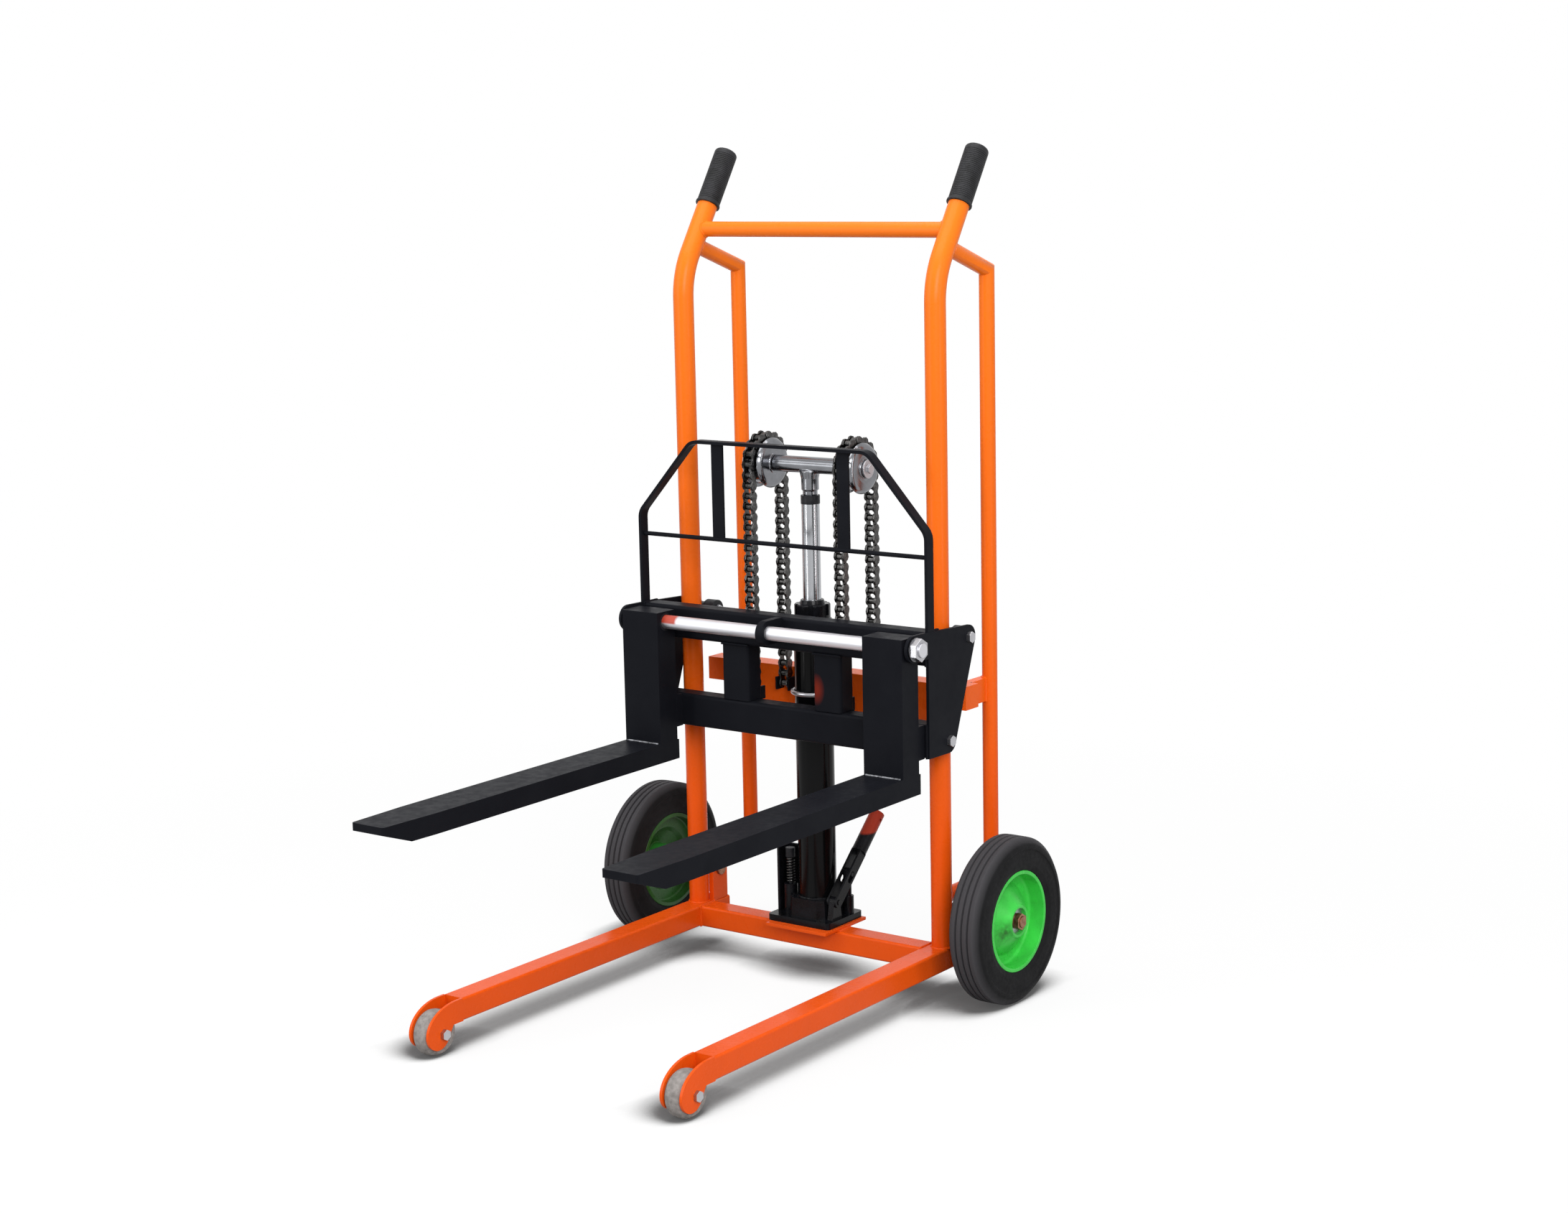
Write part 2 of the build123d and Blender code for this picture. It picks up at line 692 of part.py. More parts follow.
def make_jack_cylinder():
    """Cylinder, gland nut, saddle and U-bolt that hold it to the tie channel."""
    add("jack_cylinder", tube((0, jack_offset, casting_top), (0, jack_offset, cylinder_top),
                              cylinder_radius, cylinder_wall))
    bore = ram_radius + running_fit
    nut_top = cylinder_top + gland_height
    gland = turned_upright([(bore, cylinder_top - gland_spigot),
                            (cylinder_radius - cylinder_wall, cylinder_top - gland_spigot),
                            (cylinder_radius - cylinder_wall, cylinder_top), (gland_radius, cylinder_top),
                            (gland_radius, nut_top - gland_chamfer), (gland_radius - gland_chamfer, nut_top),
                            (wiper_radius, nut_top),
                            (wiper_radius - gland_chamfer, nut_top + wiper_height),
                            (bore, nut_top + wiper_height)], 0, jack_offset)
    notch = block(gland_radius - gland_notch_depth, gland_radius + gland_notch_depth,
                  -gland_notch_width / 2, gland_notch_width / 2, cylinder_top + gland_notch_rise, nut_top)
    for turn in range(gland_notch_count):
        gland -= Pos(0, jack_offset, 0) * Rot(0, 0, turn * 360 / gland_notch_count) * notch
    add("gland_nut", gland)

    saddle = block(-saddle_half_width, saddle_half_width, jack_offset, tie_front,
                   clamp_z - saddle_height / 2, clamp_z + saddle_height / 2)
    saddle -= rod((0, jack_offset, clamp_z - saddle_height), (0, jack_offset, clamp_z + saddle_height),
                  cylinder_radius)
    add("cylinder_saddle", saddle)

    inside = tie_front + tie_wall
    section = Plane(origin=(-clamp_radius, jack_offset, clamp_z), z_dir=(0, 1, 0)) * Circle(clamp_rod_radius)
    bolt = revolve(section, Axis((0, jack_offset, 0), (0, 0, 1)), revolution_arc=180)
    for x in (-clamp_radius, clamp_radius):
        bolt += rod((x, jack_offset, clamp_z), (x, inside + clamp_tail, clamp_z), clamp_rod_radius)
        add("cylinder_u_bolt", hexagon((x, inside, clamp_z), (x, inside + clamp_nut_height, clamp_z),
                                       clamp_nut_flats, clamp_rod_radius))
    add("cylinder_u_bolt", bolt)


def make_ram():
    """Ram rod with piston and stop ring, and the T-shaped yoke that carries the pulleys."""
    def at(z):
        return (0, jack_offset, z)
    ram = rod(at(ram_foot), at(ram_top), ram_radius) + rod(at(ram_top), at(ring_top), stop_ring_seat)
    add("ram_rod", ram - rod(at(ring_top - yoke_stud_length), at(ring_top), yoke_stud_radius))
    piston_radius = cylinder_radius - cylinder_wall - running_fit
    add("ram_piston", tube(at(ram_foot), at(ram_foot + piston_height), piston_radius,
                           piston_radius - ram_radius))
    add("stop_ring", tube(at(ram_top), at(ring_top), stop_ring_radius, stop_ring_radius - stop_ring_seat))

    bar_bottom = yoke_z - yoke_bar_radius
    yoke = turned_upright([(0, ring_top - yoke_stud_length), (yoke_stud_radius, ring_top - yoke_stud_length),
                           (yoke_stud_radius, ring_top), (yoke_neck_radius, ring_top),
                           (yoke_neck_radius, stem_foot), (yoke_stem_radius, stem_foot),
                           (yoke_stem_radius, bar_bottom - yoke_neck_height),
                           (yoke_flare_radius, bar_bottom + yoke_bar_radius / 3),
                           (0, bar_bottom + yoke_bar_radius)], 0, jack_offset)
    yoke += rod((-yoke_shoulder, jack_offset, yoke_z), (yoke_shoulder, jack_offset, yoke_z), yoke_bar_radius)
    yoke += rod((-pulley_end, jack_offset, yoke_z), (pulley_end, jack_offset, yoke_z), pulley_journal_radius)
    add("ram_yoke", yoke)

    def on_bar(x):
        return (x, jack_offset, yoke_z)
    cap_end = pulley_end + pulley_cap_thickness
    cap = rod(on_bar(pulley_end), on_bar(cap_end), pulley_cap_radius)
    cap += hexagon(on_bar(cap_end), on_bar(cap_end + pulley_screw_height), pulley_screw_flats)
    add_pair("pulley_caps", cap)


def make_pulley(label, side):
    """Chain pulley with a flat groove between two domed flanges."""
    bore = pulley_journal_radius + running_fit
    right = [(pulley_half_width, bore), (pulley_half_width, pulley_boss_radius),
             (pulley_flange_outer, pulley_flange_radius), (pulley_flange_inner, pulley_flange_radius),
             (pulley_flange_inner, pulley_groove)]
    left = [(-x, radius) for x, radius in reversed(right)]
    add("pulley_" + label, side(turned(right + left, pulley_x, jack_offset, yoke_z)))


def chain_piece(points, joints):
    """Length of roller chain: two packs of side plates through the points and a roller at every joint."""
    outline = Sketch()
    for (y0, z0), (y1, z1) in zip(points[:-1], points[1:]):
        length = hypot(y1 - y0, z1 - z0)
        turn = degrees(atan2(z1 - z0, y1 - y0))
        middle = Pos((y0 + y1) / 2, (z0 + z1) / 2)
        outline += middle * Rot(0, 0, turn) * Rectangle(length, 2 * chain_waist)
    for y, z in joints:
        outline += Pos(y, z) * Circle(chain_plate_half_height)
    inner = chain_inner_half_width
    outer = inner + chain_plate_pack
    chain = sheet(outline, pulley_x + inner, pulley_x + outer) + sheet(outline, pulley_x - outer,
                                                                      pulley_x - inner)
    rollers = [rod((pulley_x - inner, y, z), (pulley_x + inner, y, z), chain_roller_radius)
               for y, z in joints]
    return chain + rollers


def make_chains():
    """Front runs to the carriage, wraps over the pulleys and rear runs to the tie channel."""
    top = yoke_z - chain_pitch / 2
    joints = [(front_run_y, yoke_z - step * chain_pitch) for step in range(1, run_pitches)]
    ends = [(front_run_y, top - chain_joint_gap), (front_run_y, anchor_z)]
    run = chain_piece(ends, joints)
    eye = Pos(front_run_y, anchor_z) * (Circle(chain_plate_half_height)
                                        - Circle(anchor_pin_radius + running_fit))
    inner = pulley_x + chain_inner_half_width
    for x in (inner, 2 * pulley_x - inner - chain_plate_pack):
        run -= rod((x, front_run_y, anchor_z), (x + chain_plate_pack, front_run_y, anchor_z),
                   anchor_pin_radius + running_fit)
        run += sheet(eye, x, x + chain_plate_pack)
    add_pair("chain_runs_front", run)
    add_pair("chain_runs_rear", Pos(0, rear_run_y - front_run_y, 0) * run)

    wrap_joints = []
    for step in range(wrap_pitches + 1):
        angle = pi * step / wrap_pitches
        wrap_joints.append((jack_offset - chain_radius * cos(angle), yoke_z + chain_radius * sin(angle)))
    points = [(front_run_y, top)] + wrap_joints + [(rear_run_y, top)]
    add_pair("chain_wraps", chain_piece(points, wrap_joints))


def make_chain_anchor(name, root_y, pin_y):
    """Two cheeks and a pin that hold the end of a chain run."""
    far_y = 2 * pin_y - root_y
    gap = chain_inner_half_width + chain_plate_pack + side_gap
    outer = gap + anchor_cheek
    pin = rod((pulley_x - outer, pin_y, anchor_z), (pulley_x + outer, pin_y, anchor_z), anchor_pin_radius)
    for x in (pulley_x - outer, pulley_x + gap):
        cheek = block(x, x + anchor_cheek, min(root_y, far_y), max(root_y, far_y),
                      anchor_z - anchor_half_height, anchor_z + anchor_half_height)
        add_pair(name, cheek - pin)
    add_pair(name, pin)


def side_plate_outline():
    """Plate between the two guide bolts and the crossbars, with an ear for the fork shaft."""
    upper_y, upper_z = guide_places["upper"]
    lower_y, lower_z = guide_places["lower"]
    main = hull(Pos(upper_y, upper_z) * Circle(guide_corner_radius),
                Pos(lower_y, lower_z) * Circle(guide_corner_radius),
                Line((carriage_front, carriage_base), (carriage_front, plate_top)))
    ear = hull(Pos(shaft_y, shaft_z) * Circle(shaft_ear_radius),
               Line((carriage_front, shaft_z - shaft_ear_radius), (carriage_front, plate_top)))
    return main + ear


def make_carriage():
    """Side plates, crossbars and posts of the lifting carriage."""
    plate = sheet(side_plate_outline(), plate_inner, plate_outer)
    backrest_leg = plate
    plate -= rod((plate_inner, shaft_y, shaft_z), (plate_outer, shaft_y, shaft_z), shaft_radius)
    for y, z in guide_places.values():
        plate -= rod((plate_inner, y, z), (plate_outer, y, z), guide_bolt_radius)
    add_pair("carriage_side_plates", plate)
    middle_y = (carriage_front + carriage_rear) / 2
    for bottom in (carriage_base, upper_bar_bottom):
        z = bottom + crossbar_height / 2
        bar = box_tube((-plate_inner, middle_y, z), (plate_inner, middle_y, z), (0, 1, 0),
                       crossbar_depth, crossbar_height, crossbar_wall, crossbar_corner)
        add("carriage_crossbars", bar)
    post_x = post_spacing / 2
    post = box_tube((post_x, middle_y, lower_bar_top), (post_x, middle_y, upper_bar_bottom), (1, 0, 0),
                    post_width, crossbar_depth, crossbar_wall, crossbar_corner)
    add_pair("carriage_posts", post)
    ear_foot = Line((carriage_front, shaft_z - centre_ear_radius),
                    (carriage_front, shaft_z + centre_ear_radius))
    ear = hull(Pos(shaft_y, shaft_z) * Circle(centre_ear_radius), ear_foot)
    half = centre_ear_width / 2
    ear = sheet(ear, -half, half) - rod((-half, shaft_y, shaft_z), (half, shaft_y, shaft_z), shaft_radius)
    add("carriage_posts", ear)
    make_backrest(backrest_leg)


def make_backrest(plate):
    """Flat-bar bow that stands on the side plates, a cross rod and two upright bars."""
    side_x = plate_inner + side_plate / 2
    middle_y = carriage_front + backrest_setback + backrest_depth / 2
    top_z = carriage_base + backrest_top_rise
    shoulder_z = carriage_base + backrest_shoulder_rise
    foot_z = plate_top - crossbar_height / 2
    corners = [(side_x, middle_y, foot_z), (side_x, middle_y, shoulder_z),
               (backrest_top_half_width, middle_y, top_z), (-backrest_top_half_width, middle_y, top_z),
               (-side_x, middle_y, shoulder_z), (-side_x, middle_y, foot_z)]
    section = Plane(origin=corners[0]) * Rectangle(backrest_strip, backrest_depth)
    bow = sweep(section, path=FilletPolyline(*corners, radius=backrest_bend))
    add("backrest", bow - plate - other_side(plate))
    rod_z = carriage_base + backrest_rod_rise
    rod_end = side_x - backrest_strip / 2
    cross_rod = rod((-rod_end, middle_y, rod_z), (rod_end, middle_y, rod_z), backrest_rod_radius)
    add("backrest", cross_rod)
    inner = (backrest_bar_spacing - backrest_bar_width) / 2
    bar = block(inner, inner + backrest_bar_width, middle_y - backrest_bar_thickness / 2,
                middle_y + backrest_bar_thickness / 2, rod_z, top_z - backrest_strip / 2)
    add_pair("backrest", bar - cross_rod)


def make_fork_shaft():
    """Round shaft, flush in the left side plate, with a washer and a nut outside the right one."""
    def at(x):
        return (x, shaft_y, shaft_z)
    add("fork_shaft", rod(at(-plate_outer), at(shaft_end), shaft_radius))
    washer_end = plate_outer + shaft_washer_thickness
    washer = tube(at(plate_outer), at(washer_end), shaft_washer_radius, shaft_washer_radius - shaft_radius)
    nut = hexagon(at(washer_end), at(washer_end + shaft_nut_height), shaft_nut_flats, shaft_radius)
    add("shaft_nuts", washer, nut)


def make_guides():
    """Grooved guide rollers that run on the uprights, each on its own bolt with a lock nut."""
    groove = upright_radius + guide_gap
    reach = sqrt(groove ** 2 - (guide_offset - guide_radius) ** 2)
    bore = guide_bolt_radius + running_fit
    half = guide_length / 2
    nut_start = guide_inner - guide_nut_gap
    nut_end = nut_start - guide_nut_height
    for height, (y, z) in guide_places.items():
        flanks = Polyline((reach, guide_radius), (half, guide_radius), (half, bore), (-half, bore),
                          (-half, guide_radius), (-reach, guide_radius))
        waist = ThreePointArc((-reach, guide_radius), (0, guide_offset - groove), (reach, guide_radius))
        roller = Pos(upright_x, y, z) * revolve(make_face([flanks, waist]), Axis.X)
        add("guide_roller_" + height + "_right", roller)
        add("guide_roller_" + height + "_left", other_side(roller))
        bolt = rod((nut_end - guide_bolt_tail, y, z), (plate_outer, y, z), guide_bolt_radius)
        bolt += hexagon((plate_outer, y, z), (plate_outer + guide_head_height, y, z), guide_head_flats)
        nut = hexagon((nut_end, y, z), (nut_start, y, z), guide_head_flats, guide_bolt_radius)
        add_pair("guide_bolts", bolt, nut)


def make_fork(label, side):
    """Fork hung on a bush: hollow shank welded to a tapered channel blade, and a heel pad."""
    half = fork_width / 2
    inner = fork_x - half
    outer = fork_x + half

    def at(x):
        return (x, shaft_y, shaft_z)
    bush = tube(at(inner), at(outer), bush_radius, bush_wall)
    add("fork_bush_" + label, side(bush))

    shank = block(inner, outer, shank_front, shank_rear, blade_top, shaft_z + shank_above_shaft)
    shank -= block(inner + fork_wall, outer - fork_wall, shank_front + fork_wall, shank_rear - fork_wall,
                   blade_top, shaft_z - shank_hollow_below_shaft)
    shank -= rod(at(inner), at(outer), bush_radius + running_fit)
    pad_bottom = carriage_base
    pad = block(inner, outer, shank_rear, carriage_front - heel_gap, pad_bottom, pad_bottom + pad_height)

    heel = shank_rear + blade_heel
    side_view = Polygon((heel, blade_top), (fork_tip, blade_top), (fork_tip, blade_top - tip_height),
                        (fork_tip + tip_taper_length, blade_bottom), (heel, blade_bottom), align=None)
    blade = sheet(side_view, inner, outer)
    neck = fork_tip + tip_narrowing_length
    tip_half = tip_width / 2
    plan = Polygon((fork_x - half, heel), (fork_x - half, neck), (fork_x - tip_half, fork_tip),
                   (fork_x + tip_half, fork_tip), (fork_x + half, neck), (fork_x + half, heel), align=None)
    plan = fillet(plan.vertices().group_by(Axis.Y)[0], tip_corner)
    blade &= extrude(Plane.XY.offset(blade_bottom) * plan, amount=blade_height)
    blade -= block(inner + fork_wall, outer - fork_wall, neck, shank_front, blade_bottom,
                   blade_top - fork_wall)
    add("fork_" + label, side(shank + blade), side(pad))


def make_pump():
    """Pump barrel, plunger with its cross pin, and the lever with a socket for a handle."""
    barrel = tube((pump_side, plunger_y, flange_top), (pump_side, plunger_y, barrel_top), barrel_radius,
                  barrel_radius - plunger_radius - running_fit)
    add("pump_barrel", barrel)

    head_bottom = plunger_pin_z - plunger_head_below_pin
    head_half = lug_thickness / 2
    head_top = plunger_pin_z + plunger_head_above_pin
    plunger = rod((pump_side, plunger_y, barrel_top - plunger_engagement),
                  (pump_side, plunger_y, head_bottom), plunger_radius)
    plunger += block(pump_side - head_half, pump_side + head_half, plunger_y - plunger_head_half_depth,
                     plunger_y + plunger_head_half_depth, head_bottom, head_top)
    plunger += rod((pump_side - lever_outer_half, plunger_y, plunger_pin_z),
                   (pump_side + lever_outer_half, plunger_y, plunger_pin_z), plunger_pin_radius)
    add("pump_plunger", plunger)

    pin_half = lever_outer_half + lever_pin_head
    add("lever_pin", rod((pump_side - pin_half, pivot_y, pivot_z), (pump_side + pin_half, pivot_y, pivot_z),
                         lever_pin_radius))

    lean = radians(lever_angle)

    def on_lever(run):
        return (pump_side, pivot_y + run * cos(lean), pivot_z + run * sin(lean))
    slot_far = pin_arm / cos(lean)
    slot_near = pin_arm / cos(radians(lever_angle - lever_stroke))
    socket_start = lever_length - socket_length
    strip = hull(Circle(lever_half_height), Pos(socket_start, 0) * Circle(lever_half_height))
    slot = Pos((slot_near + slot_far) / 2, 0) * SlotCenterToCenter(
        slot_far - slot_near, 2 * (plunger_pin_radius + plunger_slot_slack))
    cheek = strip - slot - Circle(lever_pin_radius + running_fit)
    cheek = Pos(pivot_y, pivot_z) * Rot(0, 0, lever_angle) * cheek
    lever = rod(on_lever(socket_start), on_lever(lever_length), socket_radius)
    for inner in (pump_side - lever_outer_half, pump_side + lever_inner_half):
        lever += sheet(cheek, inner, inner + lever_plate)
    lever -= rod(on_lever(socket_start + socket_floor), on_lever(lever_length), socket_bore)
    cross = on_lever(lever_length - socket_cross_inset)
    lever -= rod((pump_side, cross[1], cross[2]), (pump_side + socket_radius, cross[1], cross[2]),
                 socket_cross_hole)
    add("pump_lever", lever)


def make_release():
    """Sprung release stem with a knob in the boss of the jack base, and the angle bracket beside it."""
    def at(z):
        return (-release_side, release_y, z)
    stem = rod(at(boss_top - release_stem_depth), at(knob_bottom), release_stem_radius)
    stem += rod(at(knob_bottom), at(knob_bottom + release_knob_height), release_knob_radius)
    add("release_stem", stem)
    add("release_spring", tube(at(boss_top), at(knob_bottom), release_spring_outer,
                               release_spring_outer - release_spring_inner))
    side = -release_side - bracket_side_reach
    back = release_y + bracket_back_reach
    top = flange_top + bracket_height
    bracket = block(side - bracket_wall, side, release_y - bracket_front_reach, back + bracket_wall,
                    flange_top, top)
    bracket += block(side, -casting_width / 2 - bracket_casting_gap, back, back + bracket_wall,
                     flange_top, top)
    add("release_bracket", bracket)


def same_side(piece):
    return piece


make_legs()
make_base_bar()
make_roller_bolts()
make_mast()
make_tie()
make_axles()
make_jack_base()
make_jack_cylinder()
make_ram()
make_chains()
make_chain_anchor("chain_anchors_rear", tie_front, rear_run_y)
make_chain_anchor("chain_anchors_front", carriage_rear, front_run_y)
make_carriage()
make_fork_shaft()
make_guides()
make_pump()
make_release()
for label, side in (("right", same_side), ("left", other_side)):
    make_front_roller("front_roller_" + label, side)
    make_wheel(label, side)
    make_pulley(label, side)
    make_fork(label, side)

rear_end = max(strut_offset + strut_radius, wheel_offset + tyre_radius)
footprint_shift = -(fork_tip + rear_end) / 2
os.makedirs("parts", exist_ok=True)
for name, solids in nodes.items():
    placed = [Pos(0, footprint_shift, 0) * solid for solid in solids]
    export_step(Compound(placed), "parts/" + name + ".step")
print(len(nodes), "sub-parts, footprint shift", round(footprint_shift, 3))
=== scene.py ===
"""Looks of a hand-pushed hydraulic lift truck: finishes, detailed pieces and a plain studio stage."""

import json
from math import asin, cos, pi, radians, sin, sqrt, tan

import bmesh
import bpy
from bpy.props import FloatProperty, FloatVectorProperty, IntProperty, PointerProperty
from mathutils import Matrix, Vector

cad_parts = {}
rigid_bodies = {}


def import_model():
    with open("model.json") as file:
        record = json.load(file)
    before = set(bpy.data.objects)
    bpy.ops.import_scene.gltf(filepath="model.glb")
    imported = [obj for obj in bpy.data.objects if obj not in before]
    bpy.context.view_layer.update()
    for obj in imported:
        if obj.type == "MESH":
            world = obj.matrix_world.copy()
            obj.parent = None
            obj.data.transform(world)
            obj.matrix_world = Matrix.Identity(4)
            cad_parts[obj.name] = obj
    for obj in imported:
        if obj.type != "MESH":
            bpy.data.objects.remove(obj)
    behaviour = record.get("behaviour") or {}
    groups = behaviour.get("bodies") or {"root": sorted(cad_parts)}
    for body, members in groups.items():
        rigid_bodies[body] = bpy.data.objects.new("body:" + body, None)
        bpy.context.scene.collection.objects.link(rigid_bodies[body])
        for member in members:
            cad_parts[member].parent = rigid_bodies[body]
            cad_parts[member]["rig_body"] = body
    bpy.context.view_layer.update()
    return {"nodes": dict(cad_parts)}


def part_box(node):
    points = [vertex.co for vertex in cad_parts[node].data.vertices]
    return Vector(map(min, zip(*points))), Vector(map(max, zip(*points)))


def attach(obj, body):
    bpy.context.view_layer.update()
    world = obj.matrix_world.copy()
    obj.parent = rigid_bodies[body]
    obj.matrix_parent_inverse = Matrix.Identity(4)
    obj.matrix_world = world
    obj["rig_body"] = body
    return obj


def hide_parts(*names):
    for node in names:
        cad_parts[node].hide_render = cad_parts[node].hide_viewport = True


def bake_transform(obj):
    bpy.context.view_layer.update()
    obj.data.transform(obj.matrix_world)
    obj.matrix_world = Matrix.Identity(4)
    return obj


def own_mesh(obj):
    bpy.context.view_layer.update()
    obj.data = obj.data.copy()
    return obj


bl_info = {
    "name": "Lift Truck Looks",
    "version": (1, 0, 0),
    "blender": (4, 5, 0),
    "location": "View3D > Sidebar > Lift Truck",
    "description": "Finishes, detailed pieces and a studio stage for a hydraulic lift truck",
    "category": "Object",
}

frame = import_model()
merge_distance = 1e-6
flat_limit = radians(0.5)


def length(name, description, default):
    """Property for a size in metres."""
    return FloatProperty(name=name, description=description, default=default, min=0.0, precision=5,
                         unit="LENGTH", subtype="DISTANCE")


def angle(name, description, default):
    """Property for an angle, given in degrees."""
    return FloatProperty(name=name, description=description, default=radians(default), unit="ROTATION",
                         subtype="ANGLE")


def count(name, description, default):
    """Property for a whole number of something."""
    return IntProperty(name=name, description=description, default=default, min=1)


def colour(name, description, default):
    """Property for a linear colour."""
    return FloatVectorProperty(name=name, description=description, default=default, size=3, min=0.0,
                               max=1.0, subtype="COLOR")


def place(name, description, default):
    """Property for a point or direction in the truck's frame."""
    return FloatVectorProperty(name=name, description=description, default=default, size=3,
                               unit="LENGTH", subtype="TRANSLATION")


def watts(name, description, default):
    """Property for the power of a light."""
    return FloatProperty(name=name, description=description, default=default, min=0.0, unit="POWER")


def level(name, description, default):
    """Property for a strength or a share."""
    return FloatProperty(name=name, description=description, default=default, min=0.0)


class TruckSizes(bpy.types.PropertyGroup):
    """Sizes of the pieces that are modelled for their looks."""

    mast_setback: length("Mast setback", "How far the uprights stand in front of the jack's axis", 0.005)
    upright_side: length("Upright side", "Distance of an upright from the middle", 0.276)
    upright_radius: length("Upright radius", "Outer radius of an upright", 0.019)
    bend_height: length("Bend height", "Height at which the uprights lean back", 1.281)
    bend_tilt: angle("Bend tilt", "Lean of the handle ends", 33.0)
    bend_radius: length("Bend radius", "Bend radius on the tube axis", 0.150)
    bend_steps: count("Bend steps", "Straight steps along the bend", 16)
    handle_run: length("Handle run", "Length of the leaning end of an upright", 0.255)
    handle_bar_run: length("Handle bar run", "Place of the handle bar along the leaning end", 0.095)
    strut_radius: length("Strut radius", "Outer radius of a rear strut and of the handle bar", 0.014)
    strut_setback: length("Strut setback", "Distance of the rear struts behind the uprights", 0.168)
    strut_bottom: length("Strut bottom", "Height of the lower strut link", 0.180)
    strut_top: length("Strut top", "Height of the upper mitre of a strut", 1.287)
    strut_link_run: length("Strut link run", "Where the upper link meets the leaning end", 0.063)
    tie_depth: length("Tie depth", "Depth of the tie channel's top", 0.042)
    tie_link_width: length("Tie link width", "Thickness of the links from the tie to the struts", 0.018)
    tie_link_height: length("Tie link height", "Height of the links from the tie to the struts", 0.043)
    tube_sides: count("Tube sides", "Faces round a tube", 48)
    inner_plate: length("Inner plate", "Thickness of an inner axle plate", 0.010)

    plate_edge: length("Plate edge", "Rounding on the edges of cut plates", 0.0009)
    fork_edge: length("Fork edge", "Rounding on the edges of the forks", 0.0045)
    shank_depth: length("Shank depth", "Depth of a fork's shank", 0.050)
    shank_drop: length("Shank drop", "From the fork shaft down to the blade's top", 0.225)
    casting_edge: length("Casting edge", "Rounding on the cast jack base", 0.0026)
    bolt_edge: length("Bolt edge", "Rounding on bolt heads and nuts", 0.0007)
    axle_nut_edge: length("Axle nut edge", "Rounding on the axle nuts", 0.0022)
    cap_edge: length("Cap edge", "Rounding on the pulley caps", 0.0012)
    sharp_angle: angle("Sharp angle", "Edges that turn more than this are rounded", 30.0)
    weld_radius: length("Weld radius", "Radius of a weld bead", 0.0024)
    weld_pitch: length("Weld pitch", "Distance between the ripples of a bead", 0.0042)
    weld_ripple: level("Weld ripple", "Share by which a bead narrows between its ripples", 0.16)
    weld_stop: length("Weld stop", "How far a bead stops short of a plate's end", 0.004)

    crossbar_height: length("Crossbar height", "Height of a carriage crossbar", 0.060)
    post_width: length("Post width", "Width of a carriage post", 0.060)
    post_spacing: length("Post spacing", "Distance between the middles of the posts", 0.204)

    grip_start: length("Grip start", "Where a grip starts on the leaning end", 0.145)
    grip_length: length("Grip length", "Length of a rubber grip", 0.115)
    grip_radius: length("Grip radius", "Outer radius of a grip", 0.0215)
    grip_collar: length("Grip collar", "How far the collar stands out", 0.0015)
    grip_rib_pitch: length("Grip rib pitch", "Distance between the ribs of a grip", 0.0036)
    grip_rib_depth: length("Grip rib depth", "Depth of the grooves between the ribs", 0.0007)

    tyre_radius: length("Tyre radius", "Outer radius of a tyre", 0.150)
    tyre_half_width: length("Tyre half width", "Half of the tyre's width", 0.0325)
    tread_half_width: length("Tread half width", "Half of the flat of the tread", 0.0215)
    groove_pitch: length("Groove pitch", "Distance between the tread grooves", 0.012)
    groove_width: length("Groove width", "Width of a tread groove", 0.0042)
    groove_depth: length("Groove depth", "Depth of a tread groove", 0.0042)
    rim_radius: length("Rim radius", "Outer radius of the rim's lip", 0.091)
    rim_half_width: length("Rim half width", "Half of the rim's width", 0.028)
    rim_lip: length("Rim lip", "Width and height of the rim's rolled lips", 0.003)
    hub_radius: length("Hub radius", "Outer radius of the hub", 0.0275)
    hub_bore: length("Hub bore", "Radius of the recess in the hub", 0.0235)
    wheel_sides: count("Wheel sides", "Faces round a wheel", 128)
    roller_sides: count("Roller sides", "Faces round a front roller", 72)
    pulley_sides: count("Pulley sides", "Faces round a pulley", 64)

    chain_pitch: length("Chain pitch", "Distance between two chain joints", 0.01905)
    chain_eye: length("Chain eye", "Radius of the round ends of a chain plate", 0.0088)
    chain_waist: length("Chain waist", "Half height of a chain plate in its middle", 0.0056)
    chain_plate: length("Chain plate", "Thickness of a chain plate", 0.0022)
    chain_inside: length("Chain inside", "Half of the space between the inner plates", 0.0063)
    chain_roller: length("Chain roller", "Radius of a chain roller", 0.0059)
    chain_pin: length("Chain pin", "Radius of a chain pin", 0.0029)
    chain_links: count("Chain links", "Links of each run at rest", 22)
    chain_lowered: count("Chain lowered", "Links that the ram's way down moves to the front run", 8)
    chain_raised: count("Chain raised", "Links that the ram's way up moves to the rear run", 14)
    wrap_links: count("Wrap links", "Links over a pulley", 8)
    spare_link: level("Spare link", "Size of a spare link against the one that it lies in", 0.96)
    pin_sides: count("Pin sides", "Faces round a chain pin or roller", 12)

    spring_turns: count("Spring turns", "Turns of the release spring", 9)
    spring_wire: length("Spring wire", "Radius of the spring's wire", 0.0015)
    spring_radius: length("Spring radius", "Radius of the coil at the wire's axis", 0.007)
    spring_steps: count("Spring steps", "Straight steps in a turn of the spring", 20)
    wire_sides: count("Wire sides", "Faces round the spring's wire", 8)


